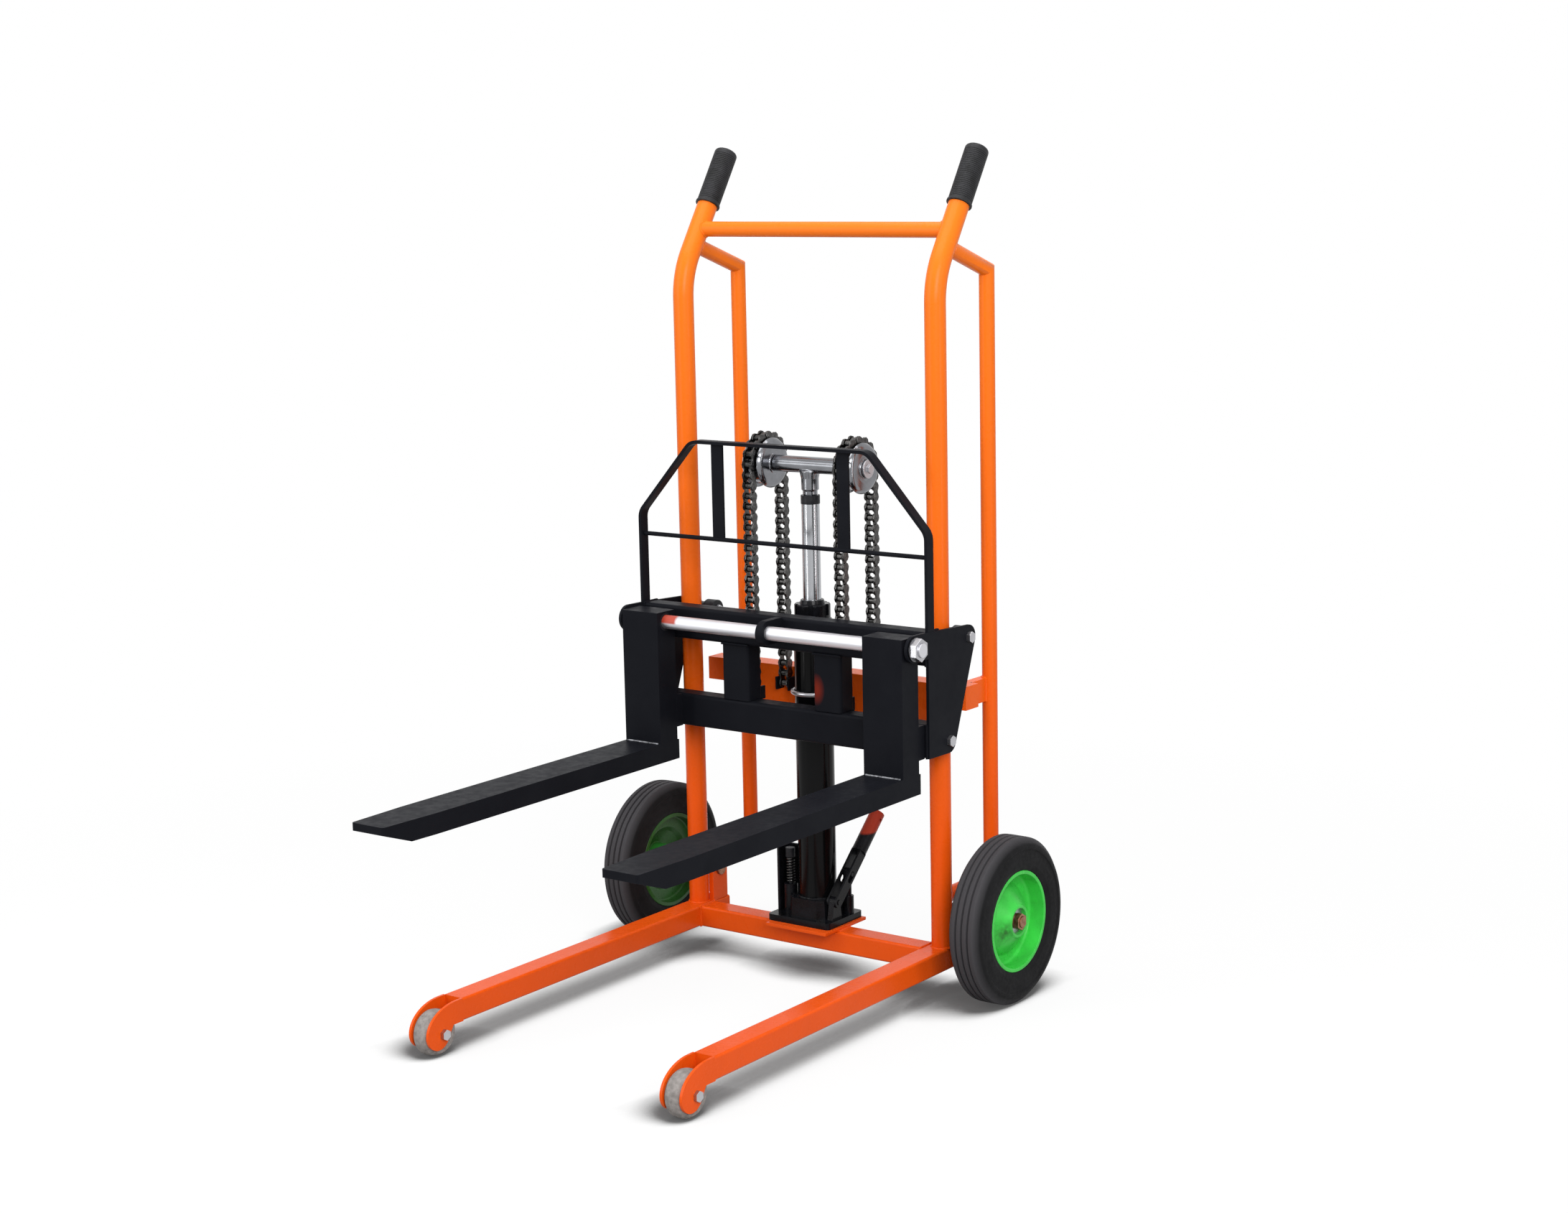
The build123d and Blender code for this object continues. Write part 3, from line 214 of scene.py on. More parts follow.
class TruckColours(bpy.types.PropertyGroup):
    """Linear colours of the finishes."""

    orange: colour("Orange", "Orange powder coat", (0.78, 0.088, 0.0050))
    orange_high: colour("High orange", "Orange powder coat on the upper tubes", (0.82, 0.170, 0.0110))
    black: colour("Black", "Satin black paint", (0.0058, 0.0062, 0.0085))
    black_dust: colour("Black dust", "Black paint with a film of dust", (0.0078, 0.0084, 0.0110))
    casting: colour("Casting", "Deep black paint of the jack", (0.0030, 0.0030, 0.0034))
    green: colour("Green", "Green rim paint", (0.050, 0.60, 0.070))
    green_dull: colour("Dull green", "Green rim paint with dirt", (0.040, 0.46, 0.055))
    # Painted shade: darkens the rims beside the hub and on their insides, where shadow falls.
    rim_shade: colour("Grime", "Dark grime beside the hub and inside the rims", (0.020, 0.050, 0.012))
    chrome: colour("Chrome", "Hard chrome of the ram", (0.42, 0.43, 0.45))
    shaft: colour("Shaft", "Ground fork shaft", (0.62, 0.62, 0.65))
    bright: colour("Bright steel", "Zinc plate and ground steel", (0.50, 0.50, 0.52))
    bright_dull: colour("Dull steel", "Darker patches of zinc and ground steel", (0.40, 0.40, 0.42))
    polished: colour("Polished steel", "Smooth steel of the pulleys and yoke", (0.22, 0.225, 0.24))
    chain: colour("Chain steel", "Oiled chain steel", (0.034, 0.034, 0.034))
    chain_light: colour("Light chain steel", "Rubbed chain steel", (0.11, 0.108, 0.105))
    oxide: colour("Black oxide", "Blackened steel", (0.022, 0.022, 0.024))
    rust: colour("Rust", "Brown rust on the axles and nuts", (0.18, 0.070, 0.035))
    rust_light: colour("Light rust", "Bare patches in the rust", (0.36, 0.20, 0.13))
    tyre: colour("Tyre", "Tyre rubber", (0.0085, 0.0085, 0.0090))
    tyre_dust: colour("Tyre dust", "Dusty tyre rubber", (0.0130, 0.0130, 0.0138))
    tread: colour("Tread", "Tread that has rolled on a dusty floor", (0.053, 0.051, 0.055))
    grip: colour("Grip", "Grip rubber", (0.021, 0.021, 0.0235))
    nylon: colour("Roller", "Worn front roller", (0.30, 0.275, 0.26))
    nylon_dark: colour("Dark roller", "Scuffs on the front roller", (0.17, 0.155, 0.145))
    red: colour("Red", "Red dip, dab and smear", (0.38, 0.040, 0.018))
    floor: colour("Floor", "Pale floor", (0.80, 0.80, 0.80))


class TruckStage(bpy.types.PropertyGroup):
    """Camera, lights and floor."""

    camera_place: place("Camera place", "Where the camera stands", (2.808, -3.537, 1.520))
    camera_turn: angle("Camera turn", "Heading of the camera", 36.44)
    camera_drop: angle("Camera drop", "How far the camera looks down", 9.88)
    camera_roll: angle("Camera roll", "Lean of the camera", -1.21)
    camera_lens: FloatProperty(name="Lens", description="Focal length", default=61.5, unit="CAMERA")
    aim_height: length("Aim height", "Height on the truck's middle at which the lights are aimed", 0.6)
    key_place: place("Key place", "Where the key light stands", (3.4, -3.0, 2.7))
    key_power: watts("Key power", "Power of the key light", 185.0)
    key_size: length("Key size", "Width and height of the key light", 2.4)
    top_place: place("Top place", "Where the top light hangs", (0.0, -0.2, 4.4))
    top_power: watts("Top power", "Power of the top light", 160.0)
    top_size: length("Top size", "Width and depth of the top light", 4.0)
    fill_place: place("Fill place", "Where the fill light stands", (-2.6, -3.0, 2.4))
    fill_power: watts("Fill power", "Power of the fill light", 45.0)
    fill_width: length("Fill width", "Width of the fill light", 2.4)
    fill_height: length("Fill height", "Height of the fill light", 3.0)
    left_strip_place: place("Left strip place", "Where the left strip light stands", (-1.3, -2.5, 1.2))
    right_strip_place: place("Right strip place", "Where the right strip light stands", (3.0, 0.1, 1.2))
    strip_power: watts("Strip power", "Power of each strip light", 15.0)
    strip_width: length("Strip width", "Width of a strip light", 0.25)
    strip_height: length("Strip height", "Height of a strip light", 2.4)
    room_light: level("Room light", "Even light of the room", 0.30)
    floor_return: level("Floor return", "Share of its light that the floor gives back", 0.40)
    contact_reach: length("Contact reach", "How far the truck darkens the floor round it", 0.12)
    contact_slant: place("Contact slant", "Direction from which light reaches under the truck",
                         (0.75, -0.35, 0.75))
    contact_shade: level("Contact shade", "Light on the floor right under the truck", 0.08)
    contact_dark: level("Contact dark", "Open share at which the floor is darkest", 0.68)
    contact_clear: level("Contact clear", "Open share from which the floor is plain", 0.90)
    floor_half: length("Floor half", "Half of the floor's width", 40.0)
    shadow_reach: length("Shadow reach", "Distance over which the floor keeps its shadows", 1.2)
    shadow_fade: length("Shadow fade", "Distance by which the floor is plain white", 2.4)
    floor_glow: level("Floor glow", "Share of plain white near the truck", 0.90)


def centre(node):
    """Middle of a CAD node's box."""
    low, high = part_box(node)
    return (low + high) / 2


def merged(*shapes):
    """One bmesh from several."""
    whole = bmesh.new()
    for shape in shapes:
        mesh = bpy.data.meshes.new("shape")
        shape.to_mesh(mesh)
        shape.free()
        whole.from_mesh(mesh)
        bpy.data.meshes.remove(mesh)
    return whole


def moved(shape, matrix):
    """The shape itself, carried by a matrix."""
    bmesh.ops.transform(shape, matrix=matrix, verts=shape.verts)
    return shape


def aimed(shape, origin, direction):
    """The shape with its X axis turned along a direction and its origin carried to a point."""
    turn = Vector(direction).to_track_quat("X", "Z").to_matrix().to_4x4()
    return moved(shape, Matrix.Translation(origin) @ turn)


def both_sides(shape):
    """A right-hand shape and its mirror image."""
    other = moved(shape.copy(), Matrix.Scale(-1, 4, (1, 0, 0)))
    bmesh.ops.reverse_faces(other, faces=other.faces)
    return merged(shape, other)


def show(name, shape, slot, body, replaced=(), flats=False, finish=None):
    """A finished piece with the finish of a slot, riding on a body."""
    limit = bpy.context.scene.truck_sizes.sharp_angle
    bmesh.ops.recalc_face_normals(shape, faces=shape.faces)
    for face in shape.faces:
        face.smooth = True
    for edge in shape.edges:
        edge.smooth = edge.is_manifold and edge.calc_face_angle(0.0) < limit
    mesh = bpy.data.meshes.new(name)
    shape.to_mesh(mesh)
    shape.free()
    mesh.materials.append(bpy.data.materials[finish or slot])
    piece = bpy.data.objects.new(name, mesh)
    bpy.context.scene.collection.objects.link(piece)
    if flats:
        held = piece.modifiers.new("Flat faces", "WEIGHTED_NORMAL")
        held.keep_sharp = True
    if body:
        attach(piece, body)
    if replaced:
        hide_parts(*replaced)
    return piece


def lathe(profile, steps, closed=True):
    """Skin of (along, radius) points spun round the X axis."""
    shape = bmesh.new()
    verts = [shape.verts.new((along, 0.0, radius)) for along, radius in profile]
    edges = [shape.edges.new(pair) for pair in zip(verts, verts[1:])]
    if closed:
        edges.append(shape.edges.new((verts[-1], verts[0])))
    bmesh.ops.spin(shape, geom=verts + edges, cent=(0, 0, 0), axis=(1, 0, 0), angle=2 * pi, steps=steps,
                   use_merge=True)
    bmesh.ops.remove_doubles(shape, verts=shape.verts, dist=merge_distance)
    bmesh.ops.recalc_face_normals(shape, faces=shape.faces)
    return shape


def filleted(corners, steps):
    """Closed outline of (x, y, rounding) corners."""
    outline = []
    for before, here, after in zip(corners[-1:] + corners[:-1], corners, corners[1:] + corners[:1]):
        corner = Vector(here[:2])
        if not here[2]:
            outline.append(tuple(corner))
            continue
        back = (Vector(before[:2]) - corner).normalized()
        ahead = (Vector(after[:2]) - corner).normalized()
        half = back.angle(ahead) / 2
        middle = corner + (back + ahead).normalized() * (here[2] / sin(half))
        first = corner + back * (here[2] / tan(half)) - middle
        last = corner + ahead * (here[2] / tan(half)) - middle
        for step in range(steps + 1):
            outline.append(tuple(middle + first.slerp(last, step / steps).normalized() * here[2]))
    return outline


def mirrored_profile(right):
    """Closed profile from its right half, mirrored about the middle of its axis."""
    return right + [(-along, radius, *rounding) for along, radius, *rounding in reversed(right)]


def tube(points, radius, sides):
    """Closed round bar along a line of points, mitred at each of them."""
    shape = bmesh.new()
    heading = (points[1] - points[0]).normalized()
    start = Matrix.Translation(points[0]) @ heading.to_track_quat("Z", "Y").to_matrix().to_4x4()
    bmesh.ops.create_circle(shape, cap_ends=True, segments=sides, radius=radius, matrix=start)
    edges = list(shape.edges)
    for index in range(1, len(points)):
        heading = (points[index] - points[index - 1]).normalized()
        after = heading
        if index + 1 < len(points):
            after = (points[index + 1] - points[index]).normalized()
        across = heading + after
        grown = bmesh.ops.extrude_edge_only(shape, edges=edges)["geom"]
        tip = {item for item in grown if isinstance(item, bmesh.types.BMVert)}
        for vert in tip:
            vert.co += heading * ((points[index] - vert.co).dot(across) / heading.dot(across))
        edges = [item for item in grown if isinstance(item, bmesh.types.BMEdge)
                 and item.verts[0] in tip and item.verts[1] in tip]
    bmesh.ops.contextual_create(shape, geom=edges)
    return shape


def softened(node, width, segments=2):
    """Copy of a CAD node with its sharp edges rounded."""
    limit = bpy.context.scene.truck_sizes.sharp_angle
    shape = bmesh.new()
    shape.from_mesh(frame["nodes"][node].data)
    bmesh.ops.remove_doubles(shape, verts=shape.verts, dist=merge_distance)
    bmesh.ops.dissolve_limit(shape, angle_limit=flat_limit, verts=shape.verts, edges=shape.edges)
    sharp = [edge for edge in shape.edges if edge.is_manifold and edge.calc_face_angle(0.0) > limit]
    bmesh.ops.bevel(shape, geom=sharp, offset=width, offset_type="OFFSET", affect="EDGES",
                    segments=segments, profile=0.5, clamp_overlap=True, material=-1)
    return shape


def body_of(node):
    """Name of the body that carries a CAD node."""
    return frame["nodes"][node]["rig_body"]


def slot_of(node):
    """Name of the material slot of a CAD node."""
    return frame["nodes"][node].data.materials[0].name


def soften_nodes(nodes, width, segments=2, finish=None):
    """Show softened copies in place of CAD nodes."""
    for node in nodes:
        show("soft_" + node, softened(node, width, segments), slot_of(node), body_of(node), [node],
             flats=True, finish=finish)


def spaced(path, step, closed):
    """Points at an even step along a line of points."""
    stops = list(path) + ([path[0]] if closed else [])
    runs = [(after - before).length for before, after in zip(stops, stops[1:])]
    total = sum(runs)
    fewest = 4
    steps = max(fewest, 2 * round(total / step / 2))
    points = []
    for index in range(steps if closed else steps + 1):
        left = total * index / steps
        at = 0
        while at < len(runs) - 1 and left > runs[at]:
            left -= runs[at]
            at += 1
        points.append(stops[at].lerp(stops[at + 1], min(left / runs[at], 1.0)))
    return points


def bead(path, closed=False):
    """Rippled weld bead along a line of points."""
    sizes = bpy.context.scene.truck_sizes
    stops = spaced(path, sizes.weld_pitch / 2, closed)
    curve = bpy.data.curves.new("bead", "CURVE")
    curve.dimensions = "3D"
    curve.bevel_depth = sizes.weld_radius
    curve.bevel_resolution = 1
    curve.use_fill_caps = True
    spline = curve.splines.new("POLY")
    spline.points.add(len(stops) - 1)
    for index, stop in enumerate(stops):
        spline.points[index].co = (*stop, 1.0)
        spline.points[index].radius = 1.0 - sizes.weld_ripple * (index % 2)
    spline.use_cyclic_u = closed
    holder = bpy.data.objects.new("bead", curve)
    shape = bmesh.new()
    shape.from_mesh(holder.to_mesh())
    holder.to_mesh_clear()
    bpy.data.objects.remove(holder)
    bpy.data.curves.remove(curve)
    bmesh.ops.remove_doubles(shape, verts=shape.verts, dist=merge_distance)
    return shape


def saddle(main_point, main_axis, main_radius, branch_axis, branch_radius, steps=32):
    """Line on which a branch tube meets a main tube; the branch starts on the main tube's axis."""
    main = Vector(main_axis).normalized()
    branch = Vector(branch_axis).normalized()
    side = branch.cross(main).normalized()
    rise = side.cross(branch)
    across = branch - main * branch.dot(main)
    line = []
    for step in range(steps):
        turn = 2 * pi * step / steps
        offset = (side * cos(turn) + rise * sin(turn)) * branch_radius
        flat = offset - main * offset.dot(main)
        half = flat.dot(across)
        root = sqrt(max(half ** 2 - across.length_squared * (flat.length_squared - main_radius ** 2), 0.0))
        line.append(main_point + offset + branch * ((root - half) / across.length_squared))
    return line


def ring(middle, axis, radius, steps=40):
    """Points on a circle square to an axis."""
    facing = Vector(axis).to_track_quat("Z", "Y")
    turns = [2 * pi * step / steps for step in range(steps)]
    return [middle + facing @ Vector((radius * cos(turn), radius * sin(turn), 0)) for turn in turns]


def tree_of(slot):
    """Emptied node tree of a finish, with its surface shader."""
    material = bpy.data.materials.get(slot) or bpy.data.materials.new(slot)
    material.use_nodes = True
    tree = material.node_tree
    tree.nodes.clear()
    output = tree.nodes.new("ShaderNodeOutputMaterial")
    shader = tree.nodes.new("ShaderNodeBsdfPrincipled")
    tree.links.new(shader.outputs["BSDF"], output.inputs["Surface"])
    return tree, shader


def noise(tree, scale, detail=3.0, stretch=(1.0, 1.0, 1.0)):
    """Noise in the truck's own coordinates."""
    coordinates = tree.nodes.new("ShaderNodeTexCoord")
    mapping = tree.nodes.new("ShaderNodeMapping")
    mapping.inputs["Scale"].default_value = stretch
    texture = tree.nodes.new("ShaderNodeTexNoise")
    texture.inputs["Scale"].default_value = scale
    texture.inputs["Detail"].default_value = detail
    tree.links.new(coordinates.outputs["Object"], mapping.inputs["Vector"])
    tree.links.new(mapping.outputs["Vector"], texture.inputs["Vector"])
    return texture.outputs["Fac"]


def spread(tree, value, low, high, start=0.3, end=0.7):
    """Value mapped to the range from low to high."""
    node = tree.nodes.new("ShaderNodeMapRange")
    node.inputs["From Min"].default_value = start
    node.inputs["From Max"].default_value = end
    node.inputs["To Min"].default_value = low
    node.inputs["To Max"].default_value = high
    tree.links.new(value, node.inputs["Value"])
    return node.outputs["Result"]


def joined(tree, rule, first, second):
    """Two shares made one: their product or the larger of them."""
    node = tree.nodes.new("ShaderNodeMath")
    node.operation = rule
    tree.links.new(first, node.inputs[0])
    tree.links.new(second, node.inputs[1])
    return node.outputs["Value"]


def mixed(tree, share, first, second):
    """Mix of two colours, each a value or the output of another node."""
    node = tree.nodes.new("ShaderNodeMix")
    node.data_type = "RGBA"
    tree.links.new(share, node.inputs["Factor"])
    for socket, value in ((node.inputs[6], first), (node.inputs[7], second)):
        if isinstance(value, bpy.types.NodeSocket):
            tree.links.new(value, socket)
        else:
            socket.default_value = (*value, 1.0)
    return node.outputs[2]


def recoloured(tree, shader, share, first, second):
    """Let the surface show a mix of two colours."""
    surface = mixed(tree, share, first, second)
    tree.links.new(surface, shader.inputs["Base Color"])
    return surface


def bumped(tree, shader, height, strength, distance):
    """Small relief on the surface."""
    node = tree.nodes.new("ShaderNodeBump")
    node.inputs["Strength"].default_value = strength
    node.inputs["Distance"].default_value = distance
    tree.links.new(height, node.inputs["Height"])
    tree.links.new(node.outputs["Normal"], shader.inputs["Normal"])


def beyond(tree, axis, start, end):
    """Share that rises from 0 to 1 between two places along an axis of the truck."""
    coordinates = tree.nodes.new("ShaderNodeTexCoord")
    split = tree.nodes.new("ShaderNodeSeparateXYZ")
    tree.links.new(coordinates.outputs["Object"], split.inputs["Vector"])
    return spread(tree, split.outputs[axis], low=0.0, high=1.0, start=start, end=end)


def away(tree, point, counted):
    """Distance of the surface from a point, along the axes that are counted."""
    coordinates = tree.nodes.new("ShaderNodeTexCoord")
    offset = tree.nodes.new("ShaderNodeVectorMath")
    offset.operation = "MULTIPLY_ADD"
    offset.inputs[1].default_value = counted
    offset.inputs[2].default_value = [-value * share for value, share in zip(point, counted)]
    reach = tree.nodes.new("ShaderNodeVectorMath")
    reach.operation = "LENGTH"
    tree.links.new(coordinates.outputs["Object"], offset.inputs[0])
    tree.links.new(offset.outputs["Vector"], reach.inputs[0])
    return reach.outputs["Value"]


def inward_shade(tree, most):
    """Share of painted shade on the surfaces that look towards the truck's middle plane."""
    coordinates = tree.nodes.new("ShaderNodeTexCoord")
    product = tree.nodes.new("ShaderNodeVectorMath")
    product.operation = "MULTIPLY"
    tree.links.new(coordinates.outputs["Normal"], product.inputs[0])
    tree.links.new(coordinates.outputs["Object"], product.inputs[1])
    split = tree.nodes.new("ShaderNodeSeparateXYZ")
    tree.links.new(product.outputs["Vector"], split.inputs["Vector"])
    return spread(tree, split.outputs["X"], low=most, high=0.0, start=-0.06, end=-0.02)


def painted(slot, base, second, roughness, shine, patch, grain, relief):
    """Paint or rubber with soft patches and a fine grain."""
    tree, shader = tree_of(slot)
    uneven = 0.15
    finer = 5
    surface = recoloured(tree, shader, spread(tree, noise(tree, patch), low=0.0, high=1.0), base, second)
    sheen = spread(tree, noise(tree, patch * finer), low=roughness * (1 - uneven),
                   high=roughness * (1 + uneven))
    tree.links.new(sheen, shader.inputs["Roughness"])
    shader.inputs["Specular IOR Level"].default_value = shine
    bumped(tree, shader, noise(tree, grain, detail=2.0), strength=relief, distance=0.001)
    return tree, shader, surface


def metal(slot, base, second, roughness, patch, stretch=(1.0, 1.0, 1.0), relief=0.0):
    """Bare or plated steel with darker patches."""
    tree, shader = tree_of(slot)
    uneven = 0.1
    finer = 6
    patches = noise(tree, patch, 4.0, stretch)
    surface = recoloured(tree, shader, spread(tree, patches, low=0.0, high=1.0), base, second)
    shader.inputs["Metallic"].default_value = 1.0
    sheen = spread(tree, patches, low=roughness * (1 - uneven), high=roughness * (1 + uneven))
    tree.links.new(sheen, shader.inputs["Roughness"])
    if relief:
        bumped(tree, shader, noise(tree, patch * finer, 3.0, stretch), strength=relief, distance=0.0005)
    return tree, shader, surface


def make_orange_paint(colours):
    """Orange powder coat, a little lighter towards the top of the mast."""
    tree, shader, surface = painted("orange_paint", colours.orange, colours.orange * 0.93, roughness=0.28,
                                    shine=0.11, patch=9.0, grain=420.0, relief=0.05)
    raised = beyond(tree, "Z", start=0.25, end=1.35)
    recoloured(tree, shader, raised, surface, colours.orange_high)


def make_satin_black(slot, colours):
    """Satin black paint with a film of dust."""
    return painted(slot, colours.black, colours.black_dust, roughness=0.42, shine=0.03, patch=14.0,
                   grain=900.0, relief=0.14)


def make_post_paint(colours):
    """Satin black paint of the carriage posts, with a red smear on the right-hand one."""
    tree, shader, surface = make_satin_black("post_paint", colours)
    smear = (0.079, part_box("carriage_crossbars")[0].y, 0.556)
    from_smear = away(tree, smear, counted=(1.0, 1.0, 0.6))
    smeared = spread(tree, from_smear, low=0.8, high=0.0, start=0.004, end=0.018)
    recoloured(tree, shader, smeared, surface, colours.red * 0.5)


def make_green_paint(colours):
    """Green rim paint with a painted shadow beside the hub and painted shade on the inside of the rims."""
    tree, shader, surface = painted("green_paint", colours.green, colours.green_dull, roughness=0.30,
                                    shine=0.20, patch=34.0, grain=500.0, relief=0.12)
    wheel = centre("tyre_right")
    # Painted shadow of the hub on the disc, below and in front of it, broken up with noise.
    hub_shadow_spot = wheel + Vector((0.0, -0.037, -0.014))
    from_hub_shadow = away(tree, hub_shadow_spot, counted=(0.0, 1.0, 0.7))
    near = spread(tree, from_hub_shadow, low=0.85, high=0.0, start=0.004, end=0.021)
    hub_shadow = joined(tree, "MULTIPLY", near, spread(tree, noise(tree, 130.0), low=0.25, high=1.0))
    # Painted shade on the inside of the rims: the back of the disc and the faces turned towards the middle
    # are darkened.
    disc_back = wheel.x - 0.009
    from_middle = away(tree, point=(0.0, 0.0, 0.0), counted=(1.0, 0.0, 0.0))
    inside = spread(tree, from_middle, low=0.9, high=0.0, start=disc_back - 0.001, end=disc_back)
    inner_shade = joined(tree, "MAXIMUM", inside, inward_shade(tree, most=0.9))
    recoloured(tree, shader, joined(tree, "MAXIMUM", hub_shadow, inner_shade), surface, colours.rim_shade)


def make_tyre_rubber(colours):
    """Dark tyre rubber with a tread that is pale from the floor."""
    tree, shader, surface = painted("tyre_rubber", colours.tyre, colours.tyre_dust, roughness=0.60,
                                    shine=0.05, patch=26.0, grain=650.0, relief=0.30)
    from_axle = away(tree, centre("tyre_right"), counted=(0.0, 1.0, 1.0))
    rolled = spread(tree, from_axle, low=0.0, high=1.0, start=0.137, end=0.149)
    recoloured(tree, shader, rolled, surface, colours.tread)


def make_lever_paint(colours):
    """Black paint of the pump lever, whose upper end is dipped in red."""
    tree, shader, surface = painted("lever_paint", colours.black, colours.casting, roughness=0.36,
                                    shine=0.12, patch=40.0, grain=500.0, relief=0.3)
    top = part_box("pump_lever")[1].z
    dipped = beyond(tree, "Z", start=top - 0.041, end=top - 0.037)
    recoloured(tree, shader, dipped, surface, colours.red)


def make_nut_zinc(colours):
    """Zinc of the shaft nut, on a dark washer."""
    tree, shader, surface = metal("nut_zinc", colours.bright, colours.bright_dull, roughness=0.28, patch=40.0)
    washer = 0.003
    blur = 0.0003
    washer_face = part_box("shaft_nuts")[0].x + washer
    plated = beyond(tree, "X", washer_face - blur, washer_face + blur)
    recoloured(tree, shader, plated, colours.oxide, surface)


def make_shaft_steel(colours):
    """Ground steel of the fork shaft, with a dab of red paint on top, beside the left fork."""
    tree, shader, surface = metal("shaft_steel", colours.shaft, colours.shaft * 0.94, roughness=0.44,
                                  patch=24.0)
    dab = (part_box("fork_left")[1].x + 0.010, 0.0, 0.0)
    from_dab = away(tree, dab, counted=(1.0, 0.0, 0.0))
    marked = spread(tree, from_dab, low=1.0, high=0.0, start=0.018, end=0.024)
    axis = centre("fork_shaft").z
    upper = beyond(tree, "Z", start=axis - 0.002, end=axis + 0.001)
    dabbed = joined(tree, "MULTIPLY", marked, upper)
    recoloured(tree, shader, dabbed, surface, colours.red)
    bare = spread(tree, dabbed, low=1.0, high=0.0, start=0.0, end=1.0)
    tree.links.new(bare, shader.inputs["Metallic"])


def make_finishes(colours):
    """Finishes of all slots, which the CAD nodes carry already, and of pieces that look different."""
    make_orange_paint(colours)
    make_satin_black("black_paint", colours)
    make_post_paint(colours)
    make_green_paint(colours)
    make_tyre_rubber(colours)
    make_lever_paint(colours)
    make_nut_zinc(colours)
    make_shaft_steel(colours)
    painted("gloss_black", colours.casting * 0.6, colours.casting, roughness=0.16, shine=0.10, patch=14.0,
            grain=500.0, relief=0.04)
    painted("black_casting", colours.casting, colours.black, roughness=0.22, shine=0.12, patch=60.0,
            grain=320.0, relief=0.25)
    painted("dark_steel", colours.oxide, colours.black, roughness=0.36, shine=0.14, patch=80.0,
            grain=700.0, relief=0.2)
    painted("grip_rubber", colours.grip, colours.tyre, roughness=0.50, shine=0.20, patch=60.0,
            grain=900.0, relief=0.35)
    painted("roller_nylon", colours.nylon, colours.nylon_dark, roughness=0.60, shine=0.35, patch=120.0,
            grain=500.0, relief=0.6)
    metal("hard_chrome", colours.chrome, colours.chrome * 0.92, roughness=0.21, patch=40.0,
          stretch=(6.0, 6.0, 0.15))
    metal("bright_steel", colours.bright, colours.bright_dull, roughness=0.34, patch=24.0)
    metal("polished_steel", colours.polished, colours.polished * 0.8, roughness=0.17, patch=60.0)
    metal("chain_steel", colours.chain, colours.chain_light, roughness=0.30, patch=180.0, relief=0.2)
    metal("rusty_steel", colours.rust, colours.rust_light, roughness=0.42, patch=150.0, relief=0.4)
    # Painted highlight: light steel stands in for the sheen on the black-painted weld at the foot of a shank.
    metal("weld_highlight", colours.polished, colours.oxide, roughness=0.40, patch=160.0, relief=0.3)


def leaning_point(sizes, run):
    """Point on the right-hand upright's leaning axis, counted from its bend."""
    mast_y = centre("jack_cylinder").y - sizes.mast_setback
    return Vector((sizes.upright_side, mast_y + run * sin(sizes.bend_tilt),
                   sizes.bend_height + run * cos(sizes.bend_tilt)))


def upright_axis(sizes):
    """Axis of the right-hand upright, with its bend."""
    bend = leaning_point(sizes, 0.0)
    reach = sizes.bend_radius * tan(sizes.bend_tilt / 2)
    axis = [Vector((bend.x, bend.y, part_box("uprights")[0].z))]
    for step in range(sizes.bend_steps + 1):
        turn = sizes.bend_tilt * step / sizes.bend_steps
        axis.append(bend + Vector((0, sizes.bend_radius * (1 - cos(turn)),
                                   sizes.bend_radius * sin(turn) - reach)))
    return axis + [leaning_point(sizes, sizes.handle_run)]


def make_tubes(sizes):
    """Uprights with a smooth bend and rear struts with mitred corners."""
    sides = sizes.tube_sides
    axis = upright_axis(sizes)
    show("upright_tubes", both_sides(tube(axis, sizes.upright_radius, sides)), "orange_paint", "frame",
         ["uprights"], flats=True)
    foot = axis[0]
    rear = foot.y + sizes.strut_setback
    strut = [Vector((foot.x, foot.y, sizes.strut_bottom)), Vector((foot.x, rear, sizes.strut_bottom)),
             Vector((foot.x, rear, sizes.strut_top)), leaning_point(sizes, sizes.strut_link_run)]
    show("strut_tubes", both_sides(tube(strut, sizes.strut_radius, sides)), "orange_paint", "frame",
         ["rear_struts"], flats=True)


def end_seam(low, high):
    """Line up the front, along the top and down the rear of a bar's right-hand end."""
    corners = ((low.y, low.z), (low.y, high.z), (high.y, high.z), (high.y, low.z))
    return [Vector((high.x, y, z)) for y, z in corners]


def tube_seams(sizes):
    """Closed lines on which the right-hand tubes of the frame meet each other and the leg."""
    foot = upright_axis(sizes)[0]
    lean = Vector((0, sin(sizes.bend_tilt), cos(sizes.bend_tilt)))
    radius = sizes.upright_radius
    branch = sizes.strut_radius
    upper = leaning_point(sizes, sizes.strut_link_run)
    corner = Vector((foot.x, foot.y + sizes.strut_setback, sizes.strut_top))
    lower = Vector((foot.x, foot.y, sizes.strut_bottom))
    return [ring(foot, (0, 0, 1), radius),
            saddle(leaning_point(sizes, sizes.handle_bar_run), lean, radius, (-1, 0, 0), branch),
            saddle(lower, (0, 0, 1), radius, (0, 1, 0), branch),
            saddle(upper, lean, radius, corner - upper, branch)]


